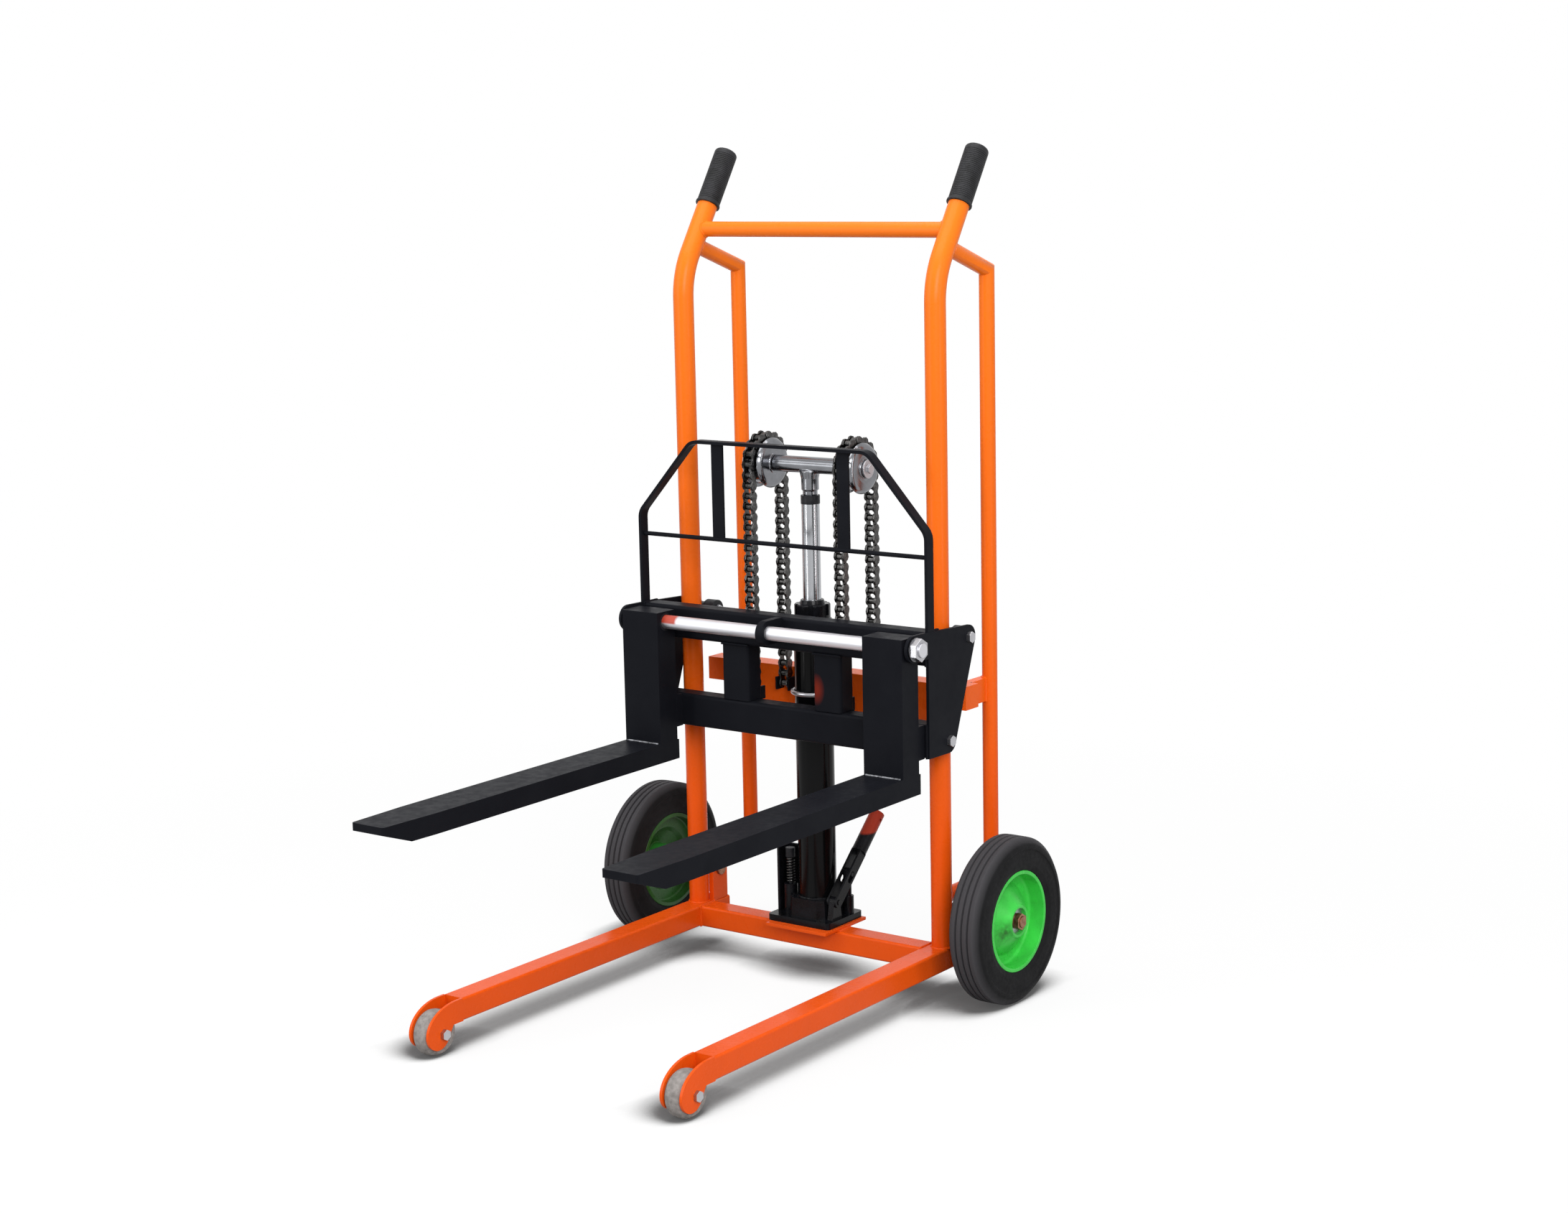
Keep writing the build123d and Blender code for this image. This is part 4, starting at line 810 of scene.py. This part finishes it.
def tie_seams(sizes):
    """Lines on which the tie's right-hand link meets the strut and the channel."""
    foot = upright_axis(sizes)[0]
    strut_y = foot.y + sizes.strut_setback
    branch = sizes.strut_radius
    low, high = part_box("mast_tie_channel")
    link_foot = high.z - sizes.tie_link_height
    quarter_steps = 6
    lap = [Vector((foot.x, strut_y - branch, link_foot))]
    for step in range(quarter_steps + 1):
        turn = pi * (1.5 - step / (2 * quarter_steps))
        lap.append(Vector((foot.x + branch * cos(turn), strut_y + branch * sin(turn), high.z)))
    lap.append(Vector((foot.x - branch, strut_y, link_foot)))
    rear = low.y + sizes.tie_depth
    sides = [[Vector((x, rear, link_foot)), Vector((x, rear, high.z))]
             for x in (foot.x, foot.x - sizes.tie_link_width)]
    return [lap] + sides


def plate_seams(sizes):
    """Lines on which the right-hand axle plates meet the leg, and the jack's seat its crossbar."""
    bar_low, bar_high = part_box("base_crossbar")
    plate_low, plate_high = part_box("axle_plates")
    leg_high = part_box("base_legs")[1]
    seat_low, seat_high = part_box("jack_seat_plate")
    stop = sizes.weld_stop
    inner = bar_high.x + sizes.inner_plate
    lines = [[Vector((inner, y, leg_high.z)) for y in (plate_low.y, plate_high.y)]]
    for y in (plate_low.y, plate_high.y):
        lines.append([Vector((leg_high.x, y, z)) for z in (plate_low.z, leg_high.z - stop)])
    lines.append([Vector((seat_high.x, y, seat_low.z)) for y in (bar_low.y + stop, bar_high.y - stop)])
    return lines


def make_frame_welds(sizes):
    """Painted weld beads where the frame's tubes and plates meet."""
    lines = [end_seam(*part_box("base_crossbar"))] + tie_seams(sizes) + plate_seams(sizes)
    shapes = [bead(loop, closed=True) for loop in tube_seams(sizes)] + [bead(line) for line in lines]
    show("frame_welds", both_sides(merged(*shapes)), "orange_paint", "frame")


def make_frame_plates(sizes):
    """Legs, plates and the tie channel with rounded edges."""
    soften_nodes(["base_legs", "axle_plates", "jack_seat_plate", "mast_tie_channel"], sizes.plate_edge)


def make_grips(sizes):
    """Ribbed rubber grips with a collar and a rounded end."""
    radius = sizes.grip_radius
    end = sizes.grip_length
    collar = radius + sizes.grip_collar
    collar_end = 0.005
    collar_edge = 0.0012
    round_end = 0.006
    collar_gap = 0.003
    slope = 0.0005
    floor = 0.0009
    outline = [(0.0, 0.0, 0), (0.0, collar, collar_edge), (collar_end, collar, collar_edge),
               (collar_end, radius, 0)]
    ribs = int((end - collar_end - 2 * round_end) / sizes.grip_rib_pitch)
    groove = radius - sizes.grip_rib_depth
    for rib in range(ribs):
        start = collar_end + collar_gap + rib * sizes.grip_rib_pitch
        outline += [(start, radius, 0), (start + slope, groove, 0), (start + slope + floor, groove, 0),
                    (start + 2 * slope + floor, radius, 0)]
    outline += [(end, radius, round_end), (end, 0.0, 0)]
    section = lathe(filleted(outline, steps=5), sizes.tube_sides, closed=False)
    grip = aimed(section, leaning_point(sizes, sizes.grip_start),
                 (0, sin(sizes.bend_tilt), cos(sizes.bend_tilt)))
    show("rubber_grips", both_sides(grip), "grip_rubber", "frame", ["hand_grips"])


def tyre_profile(sizes):
    """Closed section of a tyre: bead, sidewall with a ridge, rounded shoulder and three grooves."""
    radius = sizes.tyre_radius
    half = sizes.tyre_half_width
    lip = sizes.rim_radius
    seat = lip - sizes.rim_lip
    bead_half = sizes.rim_half_width - sizes.rim_lip
    lip_gap = 0.0006
    edge = 0.0006
    tread_drop = 0.0004
    flank_low = seat + 0.014
    flank_high = radius - 0.034
    ridge_low = radius - 0.022
    ridge_top = radius - 0.0205
    ridge_high = radius - 0.0165
    shoulder = radius - 0.010
    right = [(bead_half, seat, 0), (bead_half, lip, 0), (sizes.rim_half_width, lip + lip_gap, 0.001)]
    for inset, height, rounding in ((0.0010, flank_low, 0.006), (0.0005, flank_high, 0.006),
                                    (0.0016, ridge_low, 0.0008), (0.0, ridge_top, 0.0008),
                                    (0.0006, ridge_high, 0.0008), (0.0028, shoulder, 0.004)):
        right.append((half - inset, height, rounding))
    right.append((sizes.tread_half_width, radius - tread_drop, 0.003))
    groove_floor = radius - sizes.groove_depth
    top = sizes.groove_width / 2
    bottom = top * 0.6
    for groove in (1, 0):
        middle = groove * sizes.groove_pitch
        right += [(middle + top, radius, edge), (middle + bottom, groove_floor, edge)]
        if groove:
            right += [(middle - bottom, groove_floor, edge), (middle - top, radius, edge)]
    return filleted(mirrored_profile(right), steps=3)


def rim_profile(sizes):
    """Closed section of a pressed rim: rolled lips, barrel, dished disc with a step, and hub."""
    lip = sizes.rim_radius
    half = sizes.rim_half_width
    hub = sizes.hub_radius
    bore = sizes.hub_bore
    roll = sizes.rim_lip
    barrel = lip - 0.007
    sheet = 0.004
    hub_back = -0.030
    hub_edge = 0.001
    disc_back = -0.008
    disc_front = disc_back + sheet
    fold = 0.062
    step = 0.054
    step_back = 0.0
    step_front = 0.005
    cone_back = 0.018
    cone_front = 0.0245
    corners = [(hub_back, bore, 0), (hub_back, hub, 0.001), (cone_back, hub, 0.002), (step_back, step, 0.004),
               (disc_back, fold, 0.003), (disc_back, barrel, 0.004), (-half, barrel, 0), (-half, lip, 0.0012),
               (-half + roll, lip, 0.0012), (-half + roll, lip - roll, 0), (half - roll, lip - roll, 0),
               (half - roll, lip, 0.0012), (half, lip, 0.0014), (half, barrel, 0.0014),
               (disc_front, barrel, 0.006), (disc_front, fold + sheet, 0.004),
               (step_front, step + sheet, 0.005), (cone_front, hub + sheet, 0.004),
               (half, hub + hub_edge, 0.0012), (half, bore, 0.0012)]
    return filleted(corners, steps=4)


def make_wheels(sizes):
    """Tyres, rims, rounded axle nuts and rusty stub axles."""
    for side, sign in (("right", 1), ("left", -1)):
        body = "wheel_" + side
        middle = centre("tyre_" + side)
        for node, profile, slot in (("tyre_", tyre_profile(sizes), "tyre_rubber"),
                                    ("rim_", rim_profile(sizes), "green_paint")):
            shape = aimed(lathe(profile, sizes.wheel_sides), middle, (sign, 0, 0))
            show("shaped_" + node + side, shape, slot, body, [node + side])
    soften_nodes(["axle_nuts"], sizes.axle_nut_edge, segments=3)
    soften_nodes(["stub_axles"], sizes.bolt_edge, finish="rusty_steel")


def half_width_and_radius(node):
    """Half of a turned node's width along X, and its radius."""
    low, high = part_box(node)
    return (high.x - low.x) / 2, (high.z - low.z) / 2


def roller_profile(half, radius):
    """Closed section of a front roller: bush, sunk sides, worn edges and a crown."""
    bore = 0.0052
    bush = 0.009
    sunk = 0.0012
    sunk_start = 0.010
    sunk_end = 0.026
    side_start = 0.028
    side_end = radius - 0.007
    worn_width = 0.006
    worn_depth = 0.0018
    crown_half = 0.004
    right = [(half, bore, 0), (half, bush, 0.0006), (half - sunk, sunk_start, 0.0006),
             (half - sunk, sunk_end, 0.002), (half, side_start, 0.0012), (half, side_end, 0.003),
             (half - worn_width, radius - worn_depth, 0.004), (crown_half, radius, 0.004)]
    return filleted(mirrored_profile(right), steps=3)


def make_front_rollers(sizes):
    """Crowned front rollers with worn edges, on steel bushes."""
    for side in ("right", "left"):
        node = "front_roller_" + side
        section = lathe(roller_profile(*half_width_and_radius(node)), sizes.roller_sides)
        show("shaped_" + node, aimed(section, centre(node), (1, 0, 0)), "roller_nylon", node, [node])
    soften_nodes(["roller_bolts"], sizes.bolt_edge)


def chain_plate(sizes):
    """Figure-eight plate of a chain link, standing along Z, from x = 0 to its thickness."""
    eye_start = -35
    eye_turn = 250
    eye_steps = 6
    chamfer = 0.0005
    waist_half = sizes.chain_pitch / 10
    outline = []
    for end in (1, -1):
        for step in range(eye_steps + 1):
            turn = radians(eye_start + eye_turn * step / eye_steps)
            outline.append((end * sizes.chain_eye * cos(turn),
                            end * (sizes.chain_pitch / 2 + sizes.chain_eye * sin(turn))))
        outline.append((-end * sizes.chain_waist, end * waist_half))
        outline.append((-end * sizes.chain_waist, -end * waist_half))
    shape = bmesh.new()
    face = shape.faces.new([shape.verts.new((0.0, y, z)) for y, z in outline])
    grown = bmesh.ops.extrude_face_region(shape, geom=[face])["geom"]
    top = [item for item in grown if isinstance(item, bmesh.types.BMVert)]
    bmesh.ops.translate(shape, verts=top, vec=(sizes.chain_plate, 0, 0))
    rim = [edge for edge in shape.edges if edge.verts[0] in top and edge.verts[1] in top]
    bmesh.ops.bevel(shape, geom=rim, offset=chamfer, offset_type="OFFSET", affect="EDGES", segments=1,
                    profile=0.5, material=-1)
    return shape


def chain_link(sizes, outer, scale=1.0):
    """One chain link about its middle: two plates with either rollers or pins."""
    gap = 0.0002
    chamfer = 0.0005
    start = sizes.chain_inside + (sizes.chain_plate + gap if outer else 0.0)
    parts = [both_sides(moved(chain_plate(sizes), Matrix.Translation((start, 0, 0))))]
    radius = sizes.chain_pin if outer else sizes.chain_roller
    half = start + sizes.chain_plate + gap if outer else sizes.chain_inside - gap
    bar = filleted([(-half, 0.0, 0), (-half, radius, chamfer), (half, radius, chamfer), (half, 0.0, 0)],
                   steps=1)
    for end in (1, -1):
        joint = Matrix.Translation((0, 0, end * sizes.chain_pitch / 2))
        parts.append(moved(lathe(bar, sizes.pin_sides, closed=False), joint))
    return moved(merged(*parts), Matrix.Scale(scale, 4))


def pair_of_links(sizes, outer, scale, y, z):
    """The same link in the right-hand and the left-hand chain."""
    x = centre("pulley_right").x
    return both_sides(moved(chain_link(sizes, outer, scale), Matrix.Translation((x, y, z))))


def held_share(piece):
    """Bake the place of a piece into its mesh."""
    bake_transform(piece)


def make_chain_run(sizes, run, extra, rising, odd):
    """Links of a run. Some lie, a little smaller, inside others at rest."""
    top = centre("pulley_right").z
    y = centre("chain_runs_" + run).y
    links = sizes.chain_links
    total = links + extra
    for index in range(total):
        spot = index * links // total
        spare = index > 0 and spot == (index - 1) * links // total
        step = (links - 1 - spot) if rising else spot
        z = top - (step + 0.5) * sizes.chain_pitch
        shape = pair_of_links(sizes, (step + odd) % 2 == 1, sizes.spare_link if spare else 1.0, y, z)
        piece = show("link_" + run + "_" + str(index), shape, "chain_steel", None, ["chain_runs_" + run])
        held_share(piece)


def make_chains(sizes):
    """Roller chains: two runs on each side and the links over the pulleys."""
    make_chain_run(sizes, "front", sizes.chain_lowered, False, 0)
    make_chain_run(sizes, "rear", sizes.chain_raised, True, 1)
    middle = centre("pulley_right")
    turn = pi / sizes.wrap_links
    radius = sizes.chain_pitch / (2 * tan(turn / 2))
    links = []
    for step in range(sizes.wrap_links):
        lean = turn * (step + 0.5)
        link = moved(chain_link(sizes, step % 2 == 0),
                     Matrix.Translation(middle) @ Matrix.Rotation(-lean, 4, "X")
                     @ Matrix.Translation((0, -radius, 0)))
        links.append(both_sides(link))
    show("wrap_links", merged(*links), "chain_steel", "ram", ["chain_wraps"])


def pulley_profile(half, flange):
    """Closed section of a chain pulley: bore, seat of the cap, domed side, flange and groove."""
    bore = 0.0101
    seat = 0.019
    sunk = 0.0016
    sunk_start = 0.0205
    dome_start = 0.0265
    dome_end = 0.041
    dome_drop = 0.0028
    flange_outer = 0.0158
    flange_inner = 0.0136
    groove = 0.0393
    right = [(half, bore, 0), (half, seat, 0.001), (half - sunk, sunk_start, 0.001),
             (half - sunk, dome_start, 0.004), (half - dome_drop, dome_end, 0.010),
             (flange_outer, flange, 0.004), (flange_inner, flange, 0.0008), (flange_inner, groove, 0.0008)]
    return filleted(mirrored_profile(right), steps=6)


def make_pulleys(sizes):
    """Domed chain pulleys and their end caps."""
    for side in ("right", "left"):
        node = "pulley_" + side
        section = lathe(pulley_profile(*half_width_and_radius(node)), sizes.pulley_sides)
        show("domed_" + node, aimed(section, centre(node), (1, 0, 0)), "bright_steel", node, [node],
             finish="polished_steel")
    soften_nodes(["pulley_caps"], sizes.cap_edge, segments=3)


def make_yoke():
    """Forged T-shaped yoke with a rounded junction."""
    shape = bmesh.new()
    shape.from_mesh(frame["nodes"]["ram_yoke"].data)
    bmesh.ops.remove_doubles(shape, verts=shape.verts, dist=merge_distance)
    piece = show("forged_yoke", shape, "bright_steel", "ram", ["ram_yoke"], finish="polished_steel")
    remesh = piece.modifiers.new("Forged skin", "REMESH")
    remesh.mode = "VOXEL"
    remesh.voxel_size = 0.001
    remesh.use_smooth_shade = True
    smooth = piece.modifiers.new("Rounded junction", "SMOOTH")
    smooth.factor = 0.5
    smooth.iterations = 6


def make_jack(sizes):
    """Cast base, gland nut, clamp and lever with rounded edges, and the weld round the cylinder."""
    soften_nodes(["jack_base"], sizes.casting_edge, segments=3)
    soften_nodes(["jack_cylinder"], sizes.bolt_edge, finish="gloss_black")
    soften_nodes(["gland_nut", "stop_ring", "cylinder_saddle", "pump_barrel", "release_stem",
                  "release_bracket", "cylinder_u_bolt"], sizes.bolt_edge)
    soften_nodes(["lever_pin", "pump_plunger"], sizes.bolt_edge, finish="black_casting")
    soften_nodes(["pump_lever"], sizes.bolt_edge, finish="lever_paint")
    low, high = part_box("jack_cylinder")
    foot = Vector(((low.x + high.x) / 2, (low.y + high.y) / 2, low.z))
    stand_off = 0.0008
    seam = ring(foot, (0, 0, 1), (high.x - low.x) / 2 + stand_off, steps=64)
    show("cylinder_weld", bead(seam, closed=True), "black_casting", "frame")


def make_release_spring(sizes):
    """Coil spring that the release knob presses together."""
    low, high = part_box("release_spring")
    axis = (low + high) / 2
    turns = sizes.spring_turns
    steps = turns * sizes.spring_steps
    coil = sizes.spring_radius
    wire = sizes.spring_wire
    path = []
    for step in range(steps + 1):
        turn = 2 * pi * turns * step / steps
        rise = wire + (high.z - low.z - 2 * wire) * step / steps
        path.append(Vector((axis.x + coil * cos(turn), axis.y + coil * sin(turn), low.z + rise)))
    piece = show("coil_spring", tube(path, wire, sizes.wire_sides), "bright_steel", "frame",
                 ["release_spring"], finish="chain_steel")
    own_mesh(piece)


def make_carriage(sizes):
    """Carriage plates, posts and backrest with rounded edges, and black welds."""
    soften_nodes(["carriage_side_plates", "backrest", "chain_anchors_front", "chain_anchors_rear"],
                 sizes.plate_edge)
    soften_nodes(["carriage_posts"], sizes.plate_edge, finish="post_paint")
    soften_nodes(["guide_bolts"], sizes.bolt_edge)
    soften_nodes(["shaft_nuts"], sizes.bolt_edge, finish="nut_zinc")
    soften_nodes(["fork_shaft"], sizes.bolt_edge, finish="shaft_steel")
    low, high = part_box("carriage_crossbars")
    height = sizes.crossbar_height
    lines = []
    for bottom in (low.z, high.z - height):
        lines.append(end_seam(Vector((low.x, low.y, bottom)), Vector((high.x, high.y, bottom + height))))
    inner = (sizes.post_spacing - sizes.post_width) / 2
    outer = (sizes.post_spacing + sizes.post_width) / 2
    for y, z in ((high.y, low.z + height), (high.y, high.z - height), (low.y, high.z - height)):
        lines.append([Vector((inner, y, z)), Vector((outer, y, z))])
    shapes = [bead(line) for line in lines]
    show("carriage_welds", both_sides(merged(*shapes)), "black_paint", "carriage")


def make_forks(sizes):
    """Forks with rounded edges and a bead at the foot of the shank, in light steel as a painted highlight on
    a black weld.
    """
    shaft = centre("fork_shaft")
    front = shaft.y - sizes.shank_depth / 2
    blade_top = shaft.z - sizes.shank_drop
    for side in ("right", "left"):
        node = "fork_" + side
        soften_nodes([node], sizes.fork_edge, segments=3)
        low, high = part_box(node)
        seam = [Vector((x, front, blade_top)) for x in (low.x + sizes.fork_edge, high.x - sizes.fork_edge)]
        # The bead's light steel is a painted highlight on a black-painted weld.
        show("shank_weld_" + side, bead(seam), "black_paint", body_of(node), finish="weld_highlight")


class TRUCK_OT_finishes(bpy.types.Operator):
    """Build the finishes of all slots and pieces"""

    bl_idname = "truck.finishes"
    bl_label = "Finishes"

    def execute(self, context):
        make_finishes(context.scene.truck_colours)
        return {"FINISHED"}


class TRUCK_OT_tubes(bpy.types.Operator):
    """Shape the bent uprights and the mitred rear struts"""

    bl_idname = "truck.tubes"
    bl_label = "Frame tubes"

    def execute(self, context):
        make_tubes(context.scene.truck_sizes)
        return {"FINISHED"}


class TRUCK_OT_frame_plates(bpy.types.Operator):
    """Round the edges of the legs, plates and tie channel"""

    bl_idname = "truck.frame_plates"
    bl_label = "Frame plates"

    def execute(self, context):
        make_frame_plates(context.scene.truck_sizes)
        return {"FINISHED"}


class TRUCK_OT_frame_welds(bpy.types.Operator):
    """Lay the weld beads of the frame"""

    bl_idname = "truck.frame_welds"
    bl_label = "Frame welds"

    def execute(self, context):
        make_frame_welds(context.scene.truck_sizes)
        return {"FINISHED"}


class TRUCK_OT_grips(bpy.types.Operator):
    """Shape the ribbed hand grips"""

    bl_idname = "truck.grips"
    bl_label = "Hand grips"

    def execute(self, context):
        make_grips(context.scene.truck_sizes)
        return {"FINISHED"}


class TRUCK_OT_wheels(bpy.types.Operator):
    """Shape the tyres, rims, axle nuts and stub axles"""

    bl_idname = "truck.wheels"
    bl_label = "Wheels"

    def execute(self, context):
        make_wheels(context.scene.truck_sizes)
        return {"FINISHED"}


class TRUCK_OT_front_rollers(bpy.types.Operator):
    """Shape the front rollers and their bolts"""

    bl_idname = "truck.front_rollers"
    bl_label = "Front rollers"

    def execute(self, context):
        make_front_rollers(context.scene.truck_sizes)
        return {"FINISHED"}


class TRUCK_OT_chains(bpy.types.Operator):
    """Lay the roller chains link by link"""

    bl_idname = "truck.chains"
    bl_label = "Chains"

    def execute(self, context):
        make_chains(context.scene.truck_sizes)
        return {"FINISHED"}


class TRUCK_OT_pulleys(bpy.types.Operator):
    """Shape the chain pulleys and the yoke between them"""

    bl_idname = "truck.pulleys"
    bl_label = "Pulleys and yoke"

    def execute(self, context):
        make_pulleys(context.scene.truck_sizes)
        make_yoke()
        return {"FINISHED"}


class TRUCK_OT_jack(bpy.types.Operator):
    """Shape the jack, its lever and its release spring"""

    bl_idname = "truck.jack"
    bl_label = "Jack"

    def execute(self, context):
        make_jack(context.scene.truck_sizes)
        make_release_spring(context.scene.truck_sizes)
        return {"FINISHED"}


class TRUCK_OT_carriage(bpy.types.Operator):
    """Shape the lifting carriage and its fasteners"""

    bl_idname = "truck.carriage"
    bl_label = "Carriage"

    def execute(self, context):
        make_carriage(context.scene.truck_sizes)
        return {"FINISHED"}


class TRUCK_OT_forks(bpy.types.Operator):
    """Shape the two forks"""

    bl_idname = "truck.forks"
    bl_label = "Forks"

    def execute(self, context):
        make_forks(context.scene.truck_sizes)
        return {"FINISHED"}


def make_camera(stage):
    """Camera on the photo's side of the truck."""
    data = bpy.data.cameras.new("Camera")
    data.lens = stage.camera_lens
    data.sensor_width = 36.0
    data.sensor_fit = "HORIZONTAL"
    camera = bpy.data.objects.new("Camera", data)
    turn = stage.camera_turn
    drop = stage.camera_drop
    look = Vector((-sin(turn) * cos(drop), cos(turn) * cos(drop), -sin(drop)))
    right = Vector((cos(turn), sin(turn), 0.0))
    rise = right.cross(look)
    tilt = Matrix.Rotation(stage.camera_roll, 4, "Z")
    axes = Matrix((right, rise, -look)).transposed().to_4x4()
    camera.matrix_world = Matrix.Translation(stage.camera_place) @ axes @ tilt
    bpy.context.scene.collection.objects.link(camera)
    bpy.context.scene.camera = camera


def add_light(name, at, power, width, depth, aim):
    """Soft area light aimed at a height on the truck's middle."""
    data = bpy.data.lights.new(name, "AREA")
    data.shape = "RECTANGLE"
    data.size = width
    data.size_y = depth
    data.energy = power
    light = bpy.data.objects.new(name, data)
    light.location = at
    target = Vector((0.0, 0.0, aim))
    light.rotation_mode = "QUATERNION"
    light.rotation_quaternion = (target - Vector(at)).to_track_quat("-Z", "Y")
    bpy.context.scene.collection.objects.link(light)


def shown(tree):
    """1 for the rays that show the background: the camera's, mirrored and refracted ones."""
    rays = tree.nodes.new("ShaderNodeLightPath")
    share = rays.outputs["Is Camera Ray"]
    for kind in ("Is Glossy Ray", "Is Transmission Ray"):
        share = joined(tree, "MAXIMUM", share, rays.outputs[kind])
    return share


def make_floor(stage, tint):
    """Pale floor that keeps its shadows near the truck, adds a painted contact shadow to its glow, and turns
    into the white background.
    """
    material = bpy.data.materials.new("floor")
    material.use_nodes = True
    tree = material.node_tree
    tree.nodes.clear()
    output = tree.nodes.new("ShaderNodeOutputMaterial")
    diffuse = tree.nodes.new("ShaderNodeBsdfDiffuse")
    glow = tree.nodes.new("ShaderNodeEmission")
    # Painted contact shadow: ambient occlusion darkens the floor's glow under and beside the truck.
    nearness = tree.nodes.new("ShaderNodeAmbientOcclusion")
    nearness.samples = 32
    nearness.inputs["Distance"].default_value = stage.contact_reach
    slant = tree.nodes.new("ShaderNodeCombineXYZ")
    for axis, value in zip("XYZ", Vector(stage.contact_slant).normalized()):
        slant.inputs[axis].default_value = value
    tree.links.new(slant.outputs["Vector"], nearness.inputs["Normal"])
    contact = spread(tree, nearness.outputs["AO"], low=stage.contact_shade, high=1.0,
                     start=stage.contact_dark, end=stage.contact_clear)
    tree.links.new(contact, glow.inputs["Strength"])
    visible = shown(tree)
    tree.links.new(mixed(tree, visible, tint * stage.floor_return, tint), diffuse.inputs["Color"])
    distance = away(tree, point=(0.0, 0.0, 0.0), counted=(1.0, 1.0, 1.0))
    white = spread(tree, distance, low=stage.floor_glow, high=1.0, start=stage.shadow_reach,
                   end=stage.shadow_fade)
    blend = tree.nodes.new("ShaderNodeMixShader")
    tree.links.new(joined(tree, "MULTIPLY", white, visible), blend.inputs["Fac"])
    tree.links.new(diffuse.outputs["BSDF"], blend.inputs[1])
    tree.links.new(glow.outputs["Emission"], blend.inputs[2])
    tree.links.new(blend.outputs["Shader"], output.inputs["Surface"])
    shape = bmesh.new()
    bmesh.ops.create_grid(shape, x_segments=1, y_segments=1, size=stage.floor_half)
    mesh = bpy.data.meshes.new("floor")
    shape.to_mesh(mesh)
    shape.free()
    mesh.materials.append(material)
    floor = bpy.data.objects.new("floor", mesh)
    bpy.context.scene.collection.objects.link(floor)


def make_world(stage):
    """White background for the rays that show it, and an even, weaker light for the truck."""
    world = bpy.data.worlds.new("studio")
    world.use_nodes = True
    tree = world.node_tree
    background = tree.nodes["Background"]
    background.inputs["Color"].default_value = (1.0, 1.0, 1.0, 1.0)
    strength = spread(tree, shown(tree), low=stage.room_light, high=1.0, start=0.0, end=1.0)
    tree.links.new(strength, background.inputs["Strength"])
    bpy.context.scene.world = world


class TRUCK_OT_stage(bpy.types.Operator):
    """Set up the camera, lights, floor and background"""

    bl_idname = "truck.stage"
    bl_label = "Stage"

    def execute(self, context):
        stage = context.scene.truck_stage
        make_camera(stage)
        aim = stage.aim_height
        add_light("key", stage.key_place, stage.key_power, stage.key_size, stage.key_size, aim)
        add_light("top", stage.top_place, stage.top_power, stage.top_size, stage.top_size, aim)
        add_light("fill", stage.fill_place, stage.fill_power, stage.fill_width, stage.fill_height, aim)
        for name, at in (("left_strip", stage.left_strip_place), ("right_strip", stage.right_strip_place)):
            add_light(name, at, stage.strip_power, stage.strip_width, stage.strip_height, at[2])
        make_floor(stage, context.scene.truck_colours.floor)
        make_world(stage)
        context.scene.view_settings.view_transform = "Standard"
        return {"FINISHED"}


operators = (TRUCK_OT_finishes, TRUCK_OT_tubes, TRUCK_OT_frame_plates, TRUCK_OT_frame_welds, TRUCK_OT_grips,
             TRUCK_OT_wheels, TRUCK_OT_front_rollers, TRUCK_OT_chains, TRUCK_OT_pulleys, TRUCK_OT_jack,
             TRUCK_OT_carriage, TRUCK_OT_forks, TRUCK_OT_stage)


class TRUCK_PT_looks(bpy.types.Panel):
    """Steps that build the looks of the lift truck"""

    bl_label = "Lift Truck"
    bl_idname = "TRUCK_PT_looks"
    bl_space_type = "VIEW_3D"
    bl_region_type = "UI"
    bl_category = "Lift Truck"

    def draw(self, context):
        for operator in operators:
            self.layout.operator(operator.bl_idname)


groups = (TruckSizes, TruckColours, TruckStage)


def register():
    """Make the properties, operators and panel known."""
    for item in groups + operators + (TRUCK_PT_looks,):
        bpy.utils.register_class(item)
    bpy.types.Scene.truck_sizes = PointerProperty(type=TruckSizes)
    bpy.types.Scene.truck_colours = PointerProperty(type=TruckColours)
    bpy.types.Scene.truck_stage = PointerProperty(type=TruckStage)


def unregister():
    """Take the properties, operators and panel away again."""
    del bpy.types.Scene.truck_sizes
    del bpy.types.Scene.truck_colours
    del bpy.types.Scene.truck_stage
    for item in reversed(groups + operators + (TRUCK_PT_looks,)):
        bpy.utils.unregister_class(item)


def main():
    """Build the looks step by step."""
    register()
    bpy.ops.truck.finishes()
    bpy.ops.truck.tubes()
    bpy.ops.truck.frame_plates()
    bpy.ops.truck.frame_welds()
    bpy.ops.truck.grips()
    bpy.ops.truck.wheels()
    bpy.ops.truck.front_rollers()
    bpy.ops.truck.chains()
    bpy.ops.truck.pulleys()
    bpy.ops.truck.jack()
    bpy.ops.truck.carriage()
    bpy.ops.truck.forks()
    bpy.ops.truck.stage()
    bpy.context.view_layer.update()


if __name__ == "__main__":
    main()
